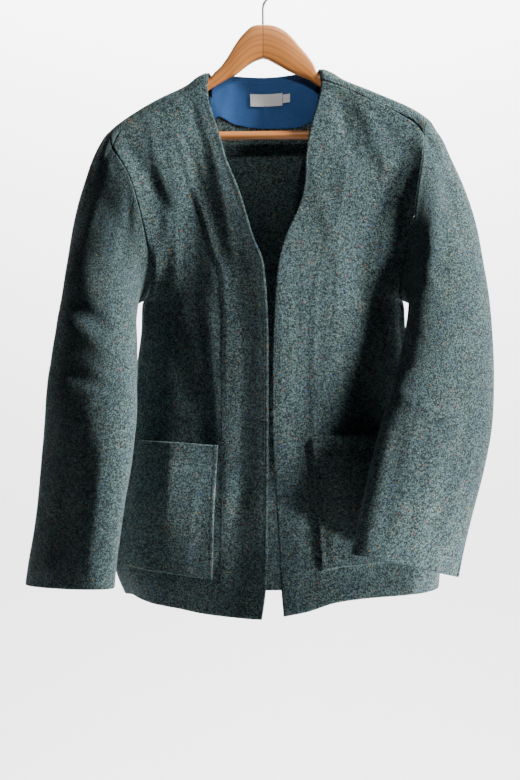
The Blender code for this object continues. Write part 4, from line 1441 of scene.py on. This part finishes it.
class Tree:
    """Adds nodes to a node tree and links them."""

    def __init__(self, tree):
        self.tree = tree

    def add(self, kind, sockets=None, **settings):
        """A node with its settings, and with a value or a link for each named socket."""
        node = self.tree.nodes.new(kind)
        for name, value in settings.items():
            setattr(node, name, value)
        for name, value in (sockets or {}).items():
            if isinstance(value, bpy.types.NodeSocket):
                self.tree.links.new(value, node.inputs[name])
            else:
                node.inputs[name].default_value = value
        return node

    def math(self, operation, a, b=0.5, c=0.5):
        """The result of a calculation."""
        return self.add("ShaderNodeMath", {0: a, 1: b, 2: c}, operation=operation).outputs[0]

    def total(self, *terms):
        """The sum of some terms: a socket alone, with its factor, or with a factor and a shift."""
        result = None
        for term in terms:
            if isinstance(term, tuple):
                term = self.math("MULTIPLY" if len(term) == 2 else "MULTIPLY_ADD", *term)
            result = term if result is None else self.math("ADD", result, term)
        return result

    def blend(self, share, a, b):
        """Two colours blended."""
        return self.add("ShaderNodeMix", {0: share, 6: a, 7: b}, data_type="RGBA").outputs[2]

    def remap(self, value, low, high, to_low=0.0, to_high=1.0):
        """A value carried smoothly from one range to another."""
        node = self.add("ShaderNodeMapRange", {0: value, 1: low, 2: high, 3: to_low, 4: to_high},
                        interpolation_type="SMOOTHSTEP")
        return node.outputs[0]

    def scaled(self, vector, factor):
        """A vector or a colour times a factor."""
        return self.add("ShaderNodeVectorMath", {0: vector, "Scale": factor},
                        operation="SCALE").outputs[0]

    def ends(self, out, colour, height):
        """The finished tree of a group that puts out a colour and a height."""
        self.tree.links.new(colour, out.inputs["Color"])
        self.tree.links.new(height, out.inputs["Height"])
        return self.tree

    def noise(self, vector, scale, detail=2.0, roughness=0.5):
        """Soft noise between nought and one."""
        node = self.add("ShaderNodeTexNoise", {"Vector": vector, "Scale": scale, "Detail": detail,
                                               "Roughness": roughness})
        return node.outputs[0]

    def cells(self, vector, size_across, size_down):
        """A chance value for every small rectangle of a plane, and a chance colour."""
        split = self.add("ShaderNodeSeparateXYZ", {0: vector})
        across = self.math("FLOOR", self.math("DIVIDE", split.outputs[0], size_across))
        down = self.math("FLOOR", self.math("DIVIDE", split.outputs[1], size_down))
        joined = self.add("ShaderNodeCombineXYZ", {0: across, 1: down, 2: 0.0})
        return self.add("ShaderNodeTexWhiteNoise", {"Vector": joined.outputs[0]},
                        noise_dimensions="2D")


def new_group(name, sockets):
    """A node group that puts out a colour and a height, and the nodes that stand for its ends."""
    tree = bpy.data.node_groups.new(name, "ShaderNodeTree")
    for label, kind in sockets.items():
        tree.interface.new_socket(label, in_out="INPUT", socket_type="NodeSocket" + kind)
    for label, kind in {"Color": "Color", "Height": "Float"}.items():
        tree.interface.new_socket(label, in_out="OUTPUT", socket_type="NodeSocket" + kind)
    nodes = Tree(tree)
    return nodes, nodes.add("NodeGroupInput"), nodes.add("NodeGroupOutput")


def made_once(make):
    """Makes a group or a material when its name first comes, and hands it out after that."""
    made = {}

    def hand_out(name, *values):
        if name not in made:
            made[name] = make(name, *values)
        return made[name]

    return hand_out


@made_once
def tweed_weave(name):
    """Herringbone of dark and light yarn with flecks of colour, on a grain map in millimetres."""
    nodes, given, out = new_group(name, {
        "Grain": "Vector", "Light yarn": "Color", "Dark yarn": "Color", "Column width": "Float",
        "Twill step": "Float", "Flecks": "Float"})
    grain_map = given.outputs["Grain"]
    wander = nodes.noise(grain_map, 0.35, 2.0)
    split = nodes.add("ShaderNodeSeparateXYZ", {0: grain_map})
    across, down = split.outputs[0], split.outputs[1]
    width = given.outputs["Column width"]
    fold = nodes.math("PINGPONG", across, width)
    column = nodes.math("MODULO", nodes.math("FLOOR", nodes.math("DIVIDE", across, width)), 2.0)
    slope = nodes.math("DIVIDE", nodes.math("ADD", down, fold), given.outputs["Twill step"])
    line = nodes.total(slope, (column, 0.5), (wander, 0.9))
    twill = nodes.math("MULTIPLY", nodes.math("PINGPONG", line, 0.5), 2.0)

    yarn = nodes.cells(grain_map, 1.15, 1.5).outputs[0]
    slub = nodes.cells(grain_map, 3.1, 1.6).outputs[0]
    clump = nodes.noise(grain_map, 0.42, 3.0, 0.6)
    tone = nodes.total((twill, 0.42, -0.21), (yarn, 0.62), (slub, 0.34, -0.17),
                       (clump, 0.9, -0.45))
    light = nodes.remap(tone, 0.08, 0.72)

    patchy = nodes.remap(nodes.noise(grain_map, 0.02, 2.0), 0.3, 0.7)
    blue_yarn = nodes.blend(nodes.math("MULTIPLY", patchy, 0.55), given.outputs["Light yarn"],
                            (0.085, 0.16, 0.19, 1.0))
    shade = nodes.blend(light, given.outputs["Dark yarn"], blue_yarn)

    spots = nodes.add("ShaderNodeTexVoronoi", {"Vector": grain_map, "Scale": 0.21,
                                               "Randomness": 1.0}, feature="F1")
    pick = nodes.add("ShaderNodeSeparateColor", {0: spots.outputs["Color"]})
    ramp = nodes.add("ShaderNodeValToRGB", {0: pick.outputs[0]})
    ramp.color_ramp.interpolation = "CONSTANT"
    elements = ramp.color_ramp.elements
    elements.remove(elements[1])
    elements[0].color = (*FLECK_COLOURS[0][1], 1.0)
    for position, colour in FLECK_COLOURS[1:]:
        elements.new(position).color = (*colour, 1.0)
    near = nodes.remap(spots.outputs["Distance"], 0.1, 0.28, 0.75, 0.0)
    kept = nodes.math("LESS_THAN", pick.outputs[1], given.outputs["Flecks"])
    shade = nodes.blend(nodes.math("MULTIPLY", near, kept), shade, ramp.outputs[0])

    fuzz = nodes.noise(grain_map, 1.6, 3.0, 0.7)
    height = nodes.total((twill, 0.5), (yarn, 0.4), (fuzz, 0.9), (clump, 0.8))
    return nodes.ends(out, shade, height)


@made_once
def plain_weave(name):
    """Fine plain weave with uneven yarn, on a grain map in millimetres."""
    nodes, given, out = new_group(name, {
        "Grain": "Vector", "Color": "Color", "Yarn": "Float", "Contrast": "Float"})
    split = nodes.add("ShaderNodeSeparateXYZ", {0: given.outputs["Grain"]})
    yarn = given.outputs["Yarn"]
    warp = nodes.math("PINGPONG", nodes.math("DIVIDE", split.outputs[0], yarn), 1.0)
    weft = nodes.math("PINGPONG", nodes.math("DIVIDE", split.outputs[1], yarn), 1.0)
    woven = nodes.math("ABSOLUTE", nodes.math("SUBTRACT", warp, weft))
    thread = nodes.cells(given.outputs["Grain"], 6.0, 0.55).outputs[0]
    other = nodes.cells(given.outputs["Grain"], 0.55, 7.0).outputs[0]
    soft = nodes.noise(given.outputs["Grain"], 0.12, 2.0)
    tone = nodes.total((woven, 0.35), (thread, 0.3), (other, 0.2), (soft, 0.35))
    uneven = nodes.math("SUBTRACT", tone, 0.6)
    lift = nodes.math("MULTIPLY_ADD", uneven, given.outputs["Contrast"], 1.0)
    return nodes.ends(out, nodes.scaled(given.outputs["Color"], lift), woven)


@made_once
def wood_grain(name):
    """Long fibres, growth rings and small pores of a pale hardwood, in metres along the grain."""
    nodes, given, out = new_group(name, {"Along": "Vector", "Light": "Color", "Dark": "Color"})
    long = nodes.add("ShaderNodeMapping", {0: given.outputs["Along"], 3: (9.0, 150.0, 150.0)})
    bend = nodes.noise(long.outputs[0], 0.6, 2.0)
    fibres = nodes.add("ShaderNodeMapping", {0: given.outputs["Along"], 3: (22.0, 900.0, 900.0)})
    fine = nodes.noise(fibres.outputs[0], 1.0, 3.0, 0.6)
    split = nodes.add("ShaderNodeSeparateXYZ", {0: long.outputs[0]})
    ring_at = nodes.total((split.outputs[1], 1.3), (bend, 4.0))
    rings = nodes.math("POWER", nodes.math("PINGPONG", ring_at, 1.0), 2.0)
    share = nodes.remap(nodes.total((rings, 0.4), (fine, 0.55)), 0.15, 0.8)
    shade = nodes.blend(share, given.outputs["Light"], given.outputs["Dark"])
    pores = nodes.add("ShaderNodeMapping", {0: given.outputs["Along"], 3: (160.0, 1900.0, 1900.0)})
    pore = nodes.remap(nodes.noise(pores.outputs[0], 1.0, 1.0), 0.66, 0.76)
    shade = nodes.blend(nodes.math("MULTIPLY", pore, 0.35), shade, given.outputs["Dark"])
    return nodes.ends(out, shade, nodes.math("SUBTRACT", fine, pore))


def new_material(name):
    """A material, its nodes and its shader."""
    material = bpy.data.materials.new(name)
    material.use_nodes = True
    nodes = Tree(material.node_tree)
    return material, nodes, material.node_tree.nodes["Principled BSDF"]


def grain_in_mm(nodes):
    """The cloth's grain map in millimetres."""
    uv = nodes.add("ShaderNodeUVMap", uv_map="grain")
    return nodes.scaled(uv.outputs[0], 1 / MM)


def set_shader(shader, **values):
    """Constant values on the shader's own sockets."""
    for name, value in values.items():
        shader.inputs[name.replace("_", " ").title()].default_value = value


def raise_relief(nodes, shader, height, depth):
    """Bump from a height, in metres."""
    bump = nodes.add("ShaderNodeBump", {"Height": height, "Strength": 1.0, "Distance": depth})
    nodes.tree.links.new(bump.outputs[0], shader.inputs["Normal"])


def add_pattern(nodes, shader, tree, relief, sockets):
    """A group's colour and relief on the shader; gives the group's node."""
    group = nodes.tree.nodes.new("ShaderNodeGroup")
    group.node_tree = tree
    for name, value in sockets.items():
        if isinstance(value, bpy.types.NodeSocket):
            nodes.tree.links.new(value, group.inputs[name])
        else:
            group.inputs[name].default_value = value
    nodes.tree.links.new(group.outputs["Color"], shader.inputs["Base Color"])
    raise_relief(nodes, shader, group.outputs["Height"], relief)
    return group


@made_once
def tweed_material(name, settings):
    """Napped wool tweed."""
    material, nodes, shader = new_material(name)
    add_pattern(nodes, shader, tweed_weave("Tweed weave"), settings.relief, {
        "Grain": grain_in_mm(nodes), "Light yarn": (*settings.light, 1.0),
        "Dark yarn": (*settings.dark, 1.0), "Column width": settings.column_width / MM,
        "Twill step": settings.twill_step / MM, "Flecks": settings.flecks})
    set_shader(shader, roughness=0.92, sheen_weight=settings.sheen, sheen_roughness=0.45,
               sheen_tint=(0.7, 0.8, 0.82, 1.0))
    shader.inputs["Specular IOR Level"].default_value = 0.2
    return material


@made_once
def cotton_material(name, colour, yarn, contrast, roughness):
    """Plain-woven cloth."""
    material, nodes, shader = new_material(name)
    add_pattern(nodes, shader, plain_weave("Plain weave"), COTTON_RELIEF, {
        "Grain": grain_in_mm(nodes), "Color": (*colour, 1.0), "Yarn": yarn, "Contrast": contrast})
    set_shader(shader, roughness=roughness, sheen_weight=0.15, sheen_roughness=0.5)
    return material


@made_once
def thread_material(name, colour):
    """Sewing thread."""
    material, nodes, shader = new_material(name)
    spot = nodes.add("ShaderNodeTexCoord")
    twist = nodes.noise(spot.outputs["Object"], 1400.0, 2.0)
    shade = nodes.blend(twist, (*(c * 0.75 for c in colour), 1.0), (*colour, 1.0))
    nodes.tree.links.new(shade, shader.inputs["Base Color"])
    set_shader(shader, roughness=0.6)
    return material


@made_once
def wood_material(name, settings):
    """Varnished hardwood, with a dark line where the arms are joined."""
    material, nodes, shader = new_material(name)
    uv = nodes.add("ShaderNodeUVMap", uv_map="grain")
    plane = nodes.add("ShaderNodeSeparateXYZ", {0: uv.outputs[0]})
    spot = nodes.add("ShaderNodeTexCoord")
    depth = nodes.add("ShaderNodeSeparateXYZ", {0: spot.outputs["Object"]})
    along = nodes.add("ShaderNodeCombineXYZ", {0: plane.outputs[0], 1: plane.outputs[1],
                                               2: depth.outputs[1]})
    group = add_pattern(nodes, shader, wood_grain("Wood grain"), WOOD_RELIEF, {
        "Along": along.outputs[0], "Light": (*settings.wood_light, 1.0),
        "Dark": (*settings.wood_dark, 1.0)})
    joint = nodes.remap(nodes.math("ABSOLUTE", depth.outputs[0]), 0.0003, 0.0009, 0.6, 0.0)
    above_bar = nodes.math("GREATER_THAN", depth.outputs[2], JOINT_FOOT)
    joint = nodes.math("MULTIPLY", joint, above_bar)
    shade = nodes.blend(joint, group.outputs["Color"], (0.06, 0.025, 0.01, 1.0))
    nodes.tree.links.new(shade, shader.inputs["Base Color"])
    set_shader(shader, roughness=0.42, coat_weight=0.45, coat_roughness=0.22)
    return material


@made_once
def steel_material(name, settings):
    """Satin metal wire."""
    material, nodes, shader = new_material(name)
    spot = nodes.add("ShaderNodeTexCoord")
    worn = nodes.noise(spot.outputs["Object"], 260.0, 3.0)
    nodes.tree.links.new(nodes.remap(worn, 0.3, 0.7, 0.26, 0.4), shader.inputs["Roughness"])
    set_shader(shader, base_color=(*settings.metal, 1.0), metallic=1.0)
    return material


# Settings

def colour_setting(name, description, default):
    """A colour as a setting."""
    return bpy.props.FloatVectorProperty(name=name, description=description, subtype="COLOR",
                                         size=3, min=0.0, max=1.0, default=default)


def number_setting(name, description, default, **limits):
    """A number as a setting."""
    return bpy.props.FloatProperty(name=name, description=description, default=default, **limits)


LENGTH = {"unit": "LENGTH"}
SHARE = {"min": 0.0, "max": 1.0, "subtype": "FACTOR"}
POWER = {"min": 0.0, "unit": "POWER"}


class TweedSettings(bpy.types.PropertyGroup):
    """The wool cloth."""

    light: colour_setting("Light yarn", "Colour of the light yarn", (0.15, 0.225, 0.215))
    dark: colour_setting("Dark yarn", "Colour of the dark yarn", (0.014, 0.022, 0.024))
    column_width: number_setting("Column width", "Width of a herringbone column", 0.0075,
                                 min=0.002, **LENGTH)
    twill_step: number_setting("Twill step", "Height of a twill line", 0.0022, min=0.0005,
                               **LENGTH)
    flecks: number_setting("Flecks", "Share of the places with a coloured fleck", 0.34, **SHARE)
    relief: number_setting("Relief", "Height of the yarn and nap", 0.0009, min=0.0, **LENGTH)
    sheen: number_setting("Sheen", "Strength of the wool's nap in side light", 0.12, **SHARE)


class TrimSettings(bpy.types.PropertyGroup):
    """Facing, label and thread."""

    cotton: colour_setting("Cotton", "Colour of the neck facing", (0.02, 0.105, 0.32))
    label: colour_setting("Label", "Colour of the blank woven label", (0.9, 0.91, 0.92))
    thread: colour_setting("Thread", "Colour of the thread on the wool", (0.05, 0.08, 0.085))
    facing_thread: colour_setting("Facing thread", "Colour of the thread on the facing",
                                  (0.09, 0.26, 0.58))


class HangerSettings(bpy.types.PropertyGroup):
    """Wooden hanger and its hook."""

    wood_light: colour_setting("Light wood", "Colour between the rings", (0.64, 0.235, 0.05))
    wood_dark: colour_setting("Dark wood", "Colour of the rings", (0.42, 0.14, 0.03))
    metal: colour_setting("Metal", "Colour of the hook", (0.46, 0.46, 0.47))
    wire_corners: bpy.props.IntProperty(
        name="Wire corners", description="Sides of the round wire and bar", default=24, min=8)


class StageSettings(bpy.types.PropertyGroup):
    """Camera, light and backdrop."""

    backdrop: colour_setting("Backdrop", "Colour of the wall and the floor", (0.86, 0.86, 0.865))
    key_power: number_setting("Key light", "Power of the light on the right", 300.0, **POWER)
    wall_power: number_setting("Wall light", "Power of the light on the backdrop", 430.0, **POWER)
    low_power: number_setting("Low light", "Power of the small light low down", 230.0, **POWER)
    neck_power: number_setting("Neck light", "Power of the small light on the neck", 200.0,
                               **POWER)
    world_strength: number_setting("Soft light", "Strength of the light from all round", 0.04,
                                   min=0.0)
    lens: number_setting("Lens", "Focal length of the camera", 0.0874, unit="CAMERA")
    distance: number_setting("Distance", "From the camera to the hanger", 2.5, **LENGTH)
    eye_height: number_setting("Eye height", "Height of the camera above the hook's inside top",
                               -0.557, **LENGTH)
    floor: number_setting("Floor", "Height of the floor above the hook's inside top", -1.85,
                          **LENGTH)


# Operators

class JACKET_OT_body(bpy.types.Operator):
    """Make the fronts and the back"""

    bl_idname = "jacket.body"
    bl_label = "Fronts and back"

    def execute(self, context):
        material = tweed_material("wool tweed", context.scene.jacket_tweed)
        half = SEAM_TUCK
        sheet = back_sheet()
        outer, inner = thicken(sheet, TWEED, (half, 0, half, half))
        middle = min(range(len(sheet.acrosses)), key=lambda i: abs(sheet.points[-1][i].x))
        piece = wall_between("cloth_back", outer, inner, grain(sheet, middle))
        hang(piece, sheet, "back", material)
        for side in SIDES:
            sheet = front_sheet(side)
            outer, inner = thicken(sheet, TWEED, (half, 0, 0, half))
            piece = wall_between("cloth_front_" + side, outer, inner, grain(sheet, 0))
            hang(piece, sheet, "front_" + side, material)
        return {"FINISHED"}


class JACKET_OT_sleeves(bpy.types.Operator):
    """Make both two-piece sleeves"""

    bl_idname = "jacket.sleeves"
    bl_label = "Sleeves"

    def execute(self, context):
        material = tweed_material("wool tweed", context.scene.jacket_tweed)
        half = SEAM_TUCK
        for side in SIDES:
            outward = -ARMHOLE_GAP if side == "left" else ARMHOLE_GAP
            for kind, sheet in zip(("top", "under"), sleeve_sheets(side)):
                outer, inner = thicken(sheet, TWEED, (0, 0, half, half), outward)
                middle = len(sheet.acrosses) // 2
                places = grain(sheet, middle, widthwise=True)
                piece = wall_between(f"cloth_sleeve_{kind}_{side}", outer, inner, places)
                hang(piece, sheet, f"sleeve_{kind}_{side}", material)
        return {"FINISHED"}


class JACKET_OT_pockets(bpy.types.Operator):
    """Make both patch pockets"""

    bl_idname = "jacket.pockets"
    bl_label = "Patch pockets"

    def execute(self, context):
        material = tweed_material("wool tweed", context.scene.jacket_tweed)
        for side in SIDES:
            sheet = pocket_sheet(side)
            piece = laid_wall("cloth_pocket_" + side, sheet, POCKET_WALL)
            hang(piece, sheet, "pocket_" + side, material)
        return {"FINISHED"}


class JACKET_OT_neck(bpy.types.Operator):
    """Make the facing, the blank label and its tab inside the back neck"""

    bl_idname = "jacket.neck"
    bl_label = "Neck facing and label"

    def execute(self, context):
        trim = context.scene.jacket_trim
        sheet = facing_sheet()
        piece = laid_wall("cloth_neck_facing", sheet, COTTON)
        hang(piece, sheet, "neck_facing",
             cotton_material("blue cotton", trim.cotton, 0.6, 0.5, 0.8))
        woven = cotton_material("white woven label", trim.label, 0.35, 0.16, 0.55)
        pieces = {name: laid_wall("cloth_" + name, label_sheet(name), WOVEN) for name in LABEL}
        dress(pieces["size_tab"], "size_tab", woven)
        hang(pieces["neck_label"], label_sheet("neck_label"), "neck_label", woven)
        return {"FINISHED"}


class JACKET_OT_sewing(bpy.types.Operator):
    """Sew the edges, the facings, the pockets and the label"""

    bl_idname = "jacket.sewing"
    bl_label = "Sewing"

    def execute(self, context):
        trim = context.scene.jacket_trim
        thread = thread_material("wool thread", trim.thread)
        edges = []
        for side in SIDES:
            sheet = front_sheet(side)
            edges.append(line_down(sheet, TOPSTITCH, rows_between(sheet, 6, 6)))
            edges.append(line_down(sheet, FACING_LINE, rows_between(sheet, 60, 30)))
        sewing_piece("stitches_fronts", edges, TOPSTITCHES, thread)
        lines = []
        for side in SIDES:
            sheet = pocket_sheet(side)
            rows = rows_between(sheet, 2, POCKET_STITCH)
            columns = range(2, len(sheet.acrosses) - 2)
            lines.append(line_down(sheet, POCKET_STITCH, rows))
            lines.append(line_down(sheet, POCKET_STITCH, rows, from_end=True))
            lines.append(line_across(sheet, POCKET_STITCH, columns, from_end=True))
        sewing_piece("stitches_pockets", lines, TOPSTITCHES, thread)
        turned = turned_over(facing_sheet())
        columns = range(2, len(turned.acrosses) - 2)
        line = line_across(turned, FACING_STITCH, columns, out=COTTON)
        sewing_piece("stitches_facing", [line], FINE_STITCHES,
                     thread_material("facing thread", trim.facing_thread))
        turned = turned_over(label_sheet("neck_label"))
        ends = [line_down(turned, LABEL_STITCH, range(len(turned.points)), from_end, WOVEN)
                for from_end in (False, True)]
        sewing_piece("stitches_label", ends, FINE_STITCHES,
                     thread_material("label thread", trim.label))
        return {"FINISHED"}


class JACKET_OT_hanger(bpy.types.Operator):
    """Make the wooden arms, the bar and the wire hook"""

    bl_idname = "jacket.hanger"
    bl_label = "Hanger"

    def execute(self, context):
        settings = context.scene.jacket_hanger
        wood = wood_material("varnished wood", settings)
        for side in SIDES:
            hanger_arm(side, wood)
        left = place(BAR_FACE["left"] + SEAM_GAP, 0, BAR_DROP["left"])
        right = place(BAR_FACE["right"] - SEAM_GAP, 0, BAR_DROP["right"])
        bar = rod("wood_bar", [left, left.lerp(right, 0.5), right], BAR_RADIUS,
                  settings.wire_corners)
        dress(bar, "trouser_bar", wood)
        hook = rod("wire_hook", hook_points(), WIRE_RADIUS, settings.wire_corners, 5)
        dress(hook, "hanger_hook", steel_material("satin steel", settings))
        return {"FINISHED"}


class JACKET_OT_stage(bpy.types.Operator):
    """Make the floor, the backdrop, the lights and the camera"""

    bl_idname = "jacket.stage"
    bl_label = "Stage"

    def execute(self, context):
        settings = context.scene.jacket_stage
        bm = bmesh.new()
        bmesh.ops.create_grid(bm, x_segments=1, y_segments=STAGE_CUTS, size=1.0)
        for vert in bm.verts:
            run = (vert.co.y + 1) / 2
            depth, height = stage_profile(run, settings.floor)
            vert.co = Vector((vert.co.x * STAGE_HALF, depth, height))
        bmesh.ops.recalc_face_normals(bm, faces=bm.faces[:])
        sweep = new_piece("backdrop", bm, 180.0)
        sweep.data.materials.append(one_sided("backdrop", settings.backdrop))
        key = area_light("key light", settings.key_power, KEY_SIZE, KEY_PLACE, KEY_AIM)
        wall = area_light("wall light", settings.wall_power, WALL_SIZE, WALL_PLACE, WALL_AIM)
        low = spot_light("low light", settings.low_power, LOW_CONE, LOW_PLACE, LOW_AIM)
        neck = spot_light("neck light", settings.neck_power, NECK_CONE, NECK_PLACE, NECK_AIM)
        context.scene.world = soft_world(settings.world_strength)
        camera = bpy.data.objects.new("camera", bpy.data.cameras.new("camera"))
        camera.location = (CAMERA_ACROSS, -settings.distance, settings.eye_height)
        camera.rotation_euler = (math.radians(90), 0, 0)
        camera.data.lens = settings.lens / MM
        camera.data.sensor_width = SENSOR
        context.scene.collection.objects.link(camera)
        context.scene.camera = camera
        return {"FINISHED"}


def stage_profile(run, floor):
    """Depth and height of the sweep: along the floor, round a bend and up the wall."""
    flat = STAGE_WALL - STAGE_BEND - STAGE_FRONT
    arc = math.pi / 2 * STAGE_BEND
    rise = STAGE_TOP - floor - STAGE_BEND
    at = run * (flat + arc + rise)
    if at < flat:
        return STAGE_FRONT + at, floor
    if at < flat + arc:
        turn = (at - flat) / STAGE_BEND
        return (STAGE_WALL - STAGE_BEND + STAGE_BEND * math.sin(turn),
                floor + STAGE_BEND * (1 - math.cos(turn)))
    return STAGE_WALL, floor + STAGE_BEND + at - flat - arc


def one_sided(name, colour):
    """A plain finish that only shows from the jacket's side, so that the back can be looked at."""
    material, nodes, shader = new_material(name)
    set_shader(shader, base_color=(*colour, 1.0), roughness=0.9)
    behind = nodes.add("ShaderNodeNewGeometry").outputs["Backfacing"]
    clear = nodes.add("ShaderNodeBsdfTransparent")
    shown = nodes.add("ShaderNodeMixShader",
                      {0: behind, 1: clear.outputs[0], 2: shader.outputs[0]})
    nodes.tree.links.new(shown.outputs[0], nodes.tree.nodes["Material Output"].inputs[0])
    return material


def soft_world(strength):
    """Faint light from all round, which looks pale where the camera sees it."""
    world = bpy.data.worlds.new("soft light")
    world.use_nodes = True
    sky = world.node_tree.nodes["Background"]
    sky.inputs[0].default_value = SKY_COLOUR
    air = Tree(world.node_tree)
    seen = air.add("ShaderNodeLightPath").outputs["Is Camera Ray"]
    world.node_tree.links.new(air.remap(seen, 0.0, 1.0, strength, SKY_SEEN), sky.inputs[1])
    return world


def lamp(kind, name, power, spot, aim, **shape):
    """A light that points at a place."""
    light = bpy.data.lights.new(name, kind)
    light.energy = power
    for setting, value in shape.items():
        setattr(light, setting, value)
    lamp_object = bpy.data.objects.new(name, light)
    lamp_object.location = spot
    turn = (Vector(aim) - Vector(spot)).to_track_quat("-Z", "Y")
    lamp_object.rotation_euler = turn.to_euler()
    bpy.context.scene.collection.objects.link(lamp_object)
    return lamp_object


def area_light(name, power, size, spot, aim):
    """A soft rectangular light."""
    return lamp("AREA", name, power, spot, aim, shape="RECTANGLE", size=size[0], size_y=size[1])


def spot_light(name, power, cone, spot, aim):
    """A soft round light with a narrow cone."""
    return lamp("SPOT", name, power, spot, aim, spot_size=math.radians(cone), spot_blend=1.0,
                shadow_soft_size=SPOT_RADIUS)


OPERATORS = (JACKET_OT_body, JACKET_OT_sleeves, JACKET_OT_pockets, JACKET_OT_neck,
             JACKET_OT_sewing, JACKET_OT_hanger, JACKET_OT_stage)
SETTINGS = {"jacket_tweed": TweedSettings, "jacket_trim": TrimSettings,
            "jacket_hanger": HangerSettings, "jacket_stage": StageSettings}


class JACKET_PT_panel(bpy.types.Panel):
    """Settings and steps of the jacket"""

    bl_label = "Jacket"
    bl_idname = "JACKET_PT_panel"
    bl_space_type = "VIEW_3D"
    bl_region_type = "UI"
    bl_category = "Jacket"

    def draw(self, context):
        for name, kind in SETTINGS.items():
            box = self.layout.box()
            box.label(text=kind.__name__.replace("Settings", ""))
            for setting in kind.__annotations__:
                box.prop(getattr(context.scene, name), setting)
        for operator in OPERATORS:
            self.layout.operator(operator.bl_idname)


def register():
    """Register the settings, the operators and the panel."""
    for kind in (*SETTINGS.values(), *OPERATORS, JACKET_PT_panel):
        bpy.utils.register_class(kind)
    for name, kind in SETTINGS.items():
        setattr(bpy.types.Scene, name, bpy.props.PointerProperty(type=kind))


def unregister():
    """Take them all away again."""
    for name in SETTINGS:
        delattr(bpy.types.Scene, name)
    for kind in reversed((*SETTINGS.values(), *OPERATORS, JACKET_PT_panel)):
        bpy.utils.unregister_class(kind)


def main():
    """Make everything."""
    register()
    bpy.ops.jacket.body()
    bpy.ops.jacket.sleeves()
    bpy.ops.jacket.pockets()
    bpy.ops.jacket.neck()
    bpy.ops.jacket.sewing()
    bpy.ops.jacket.hanger()
    bpy.ops.jacket.stage()


if __name__ == "__main__":
    main()
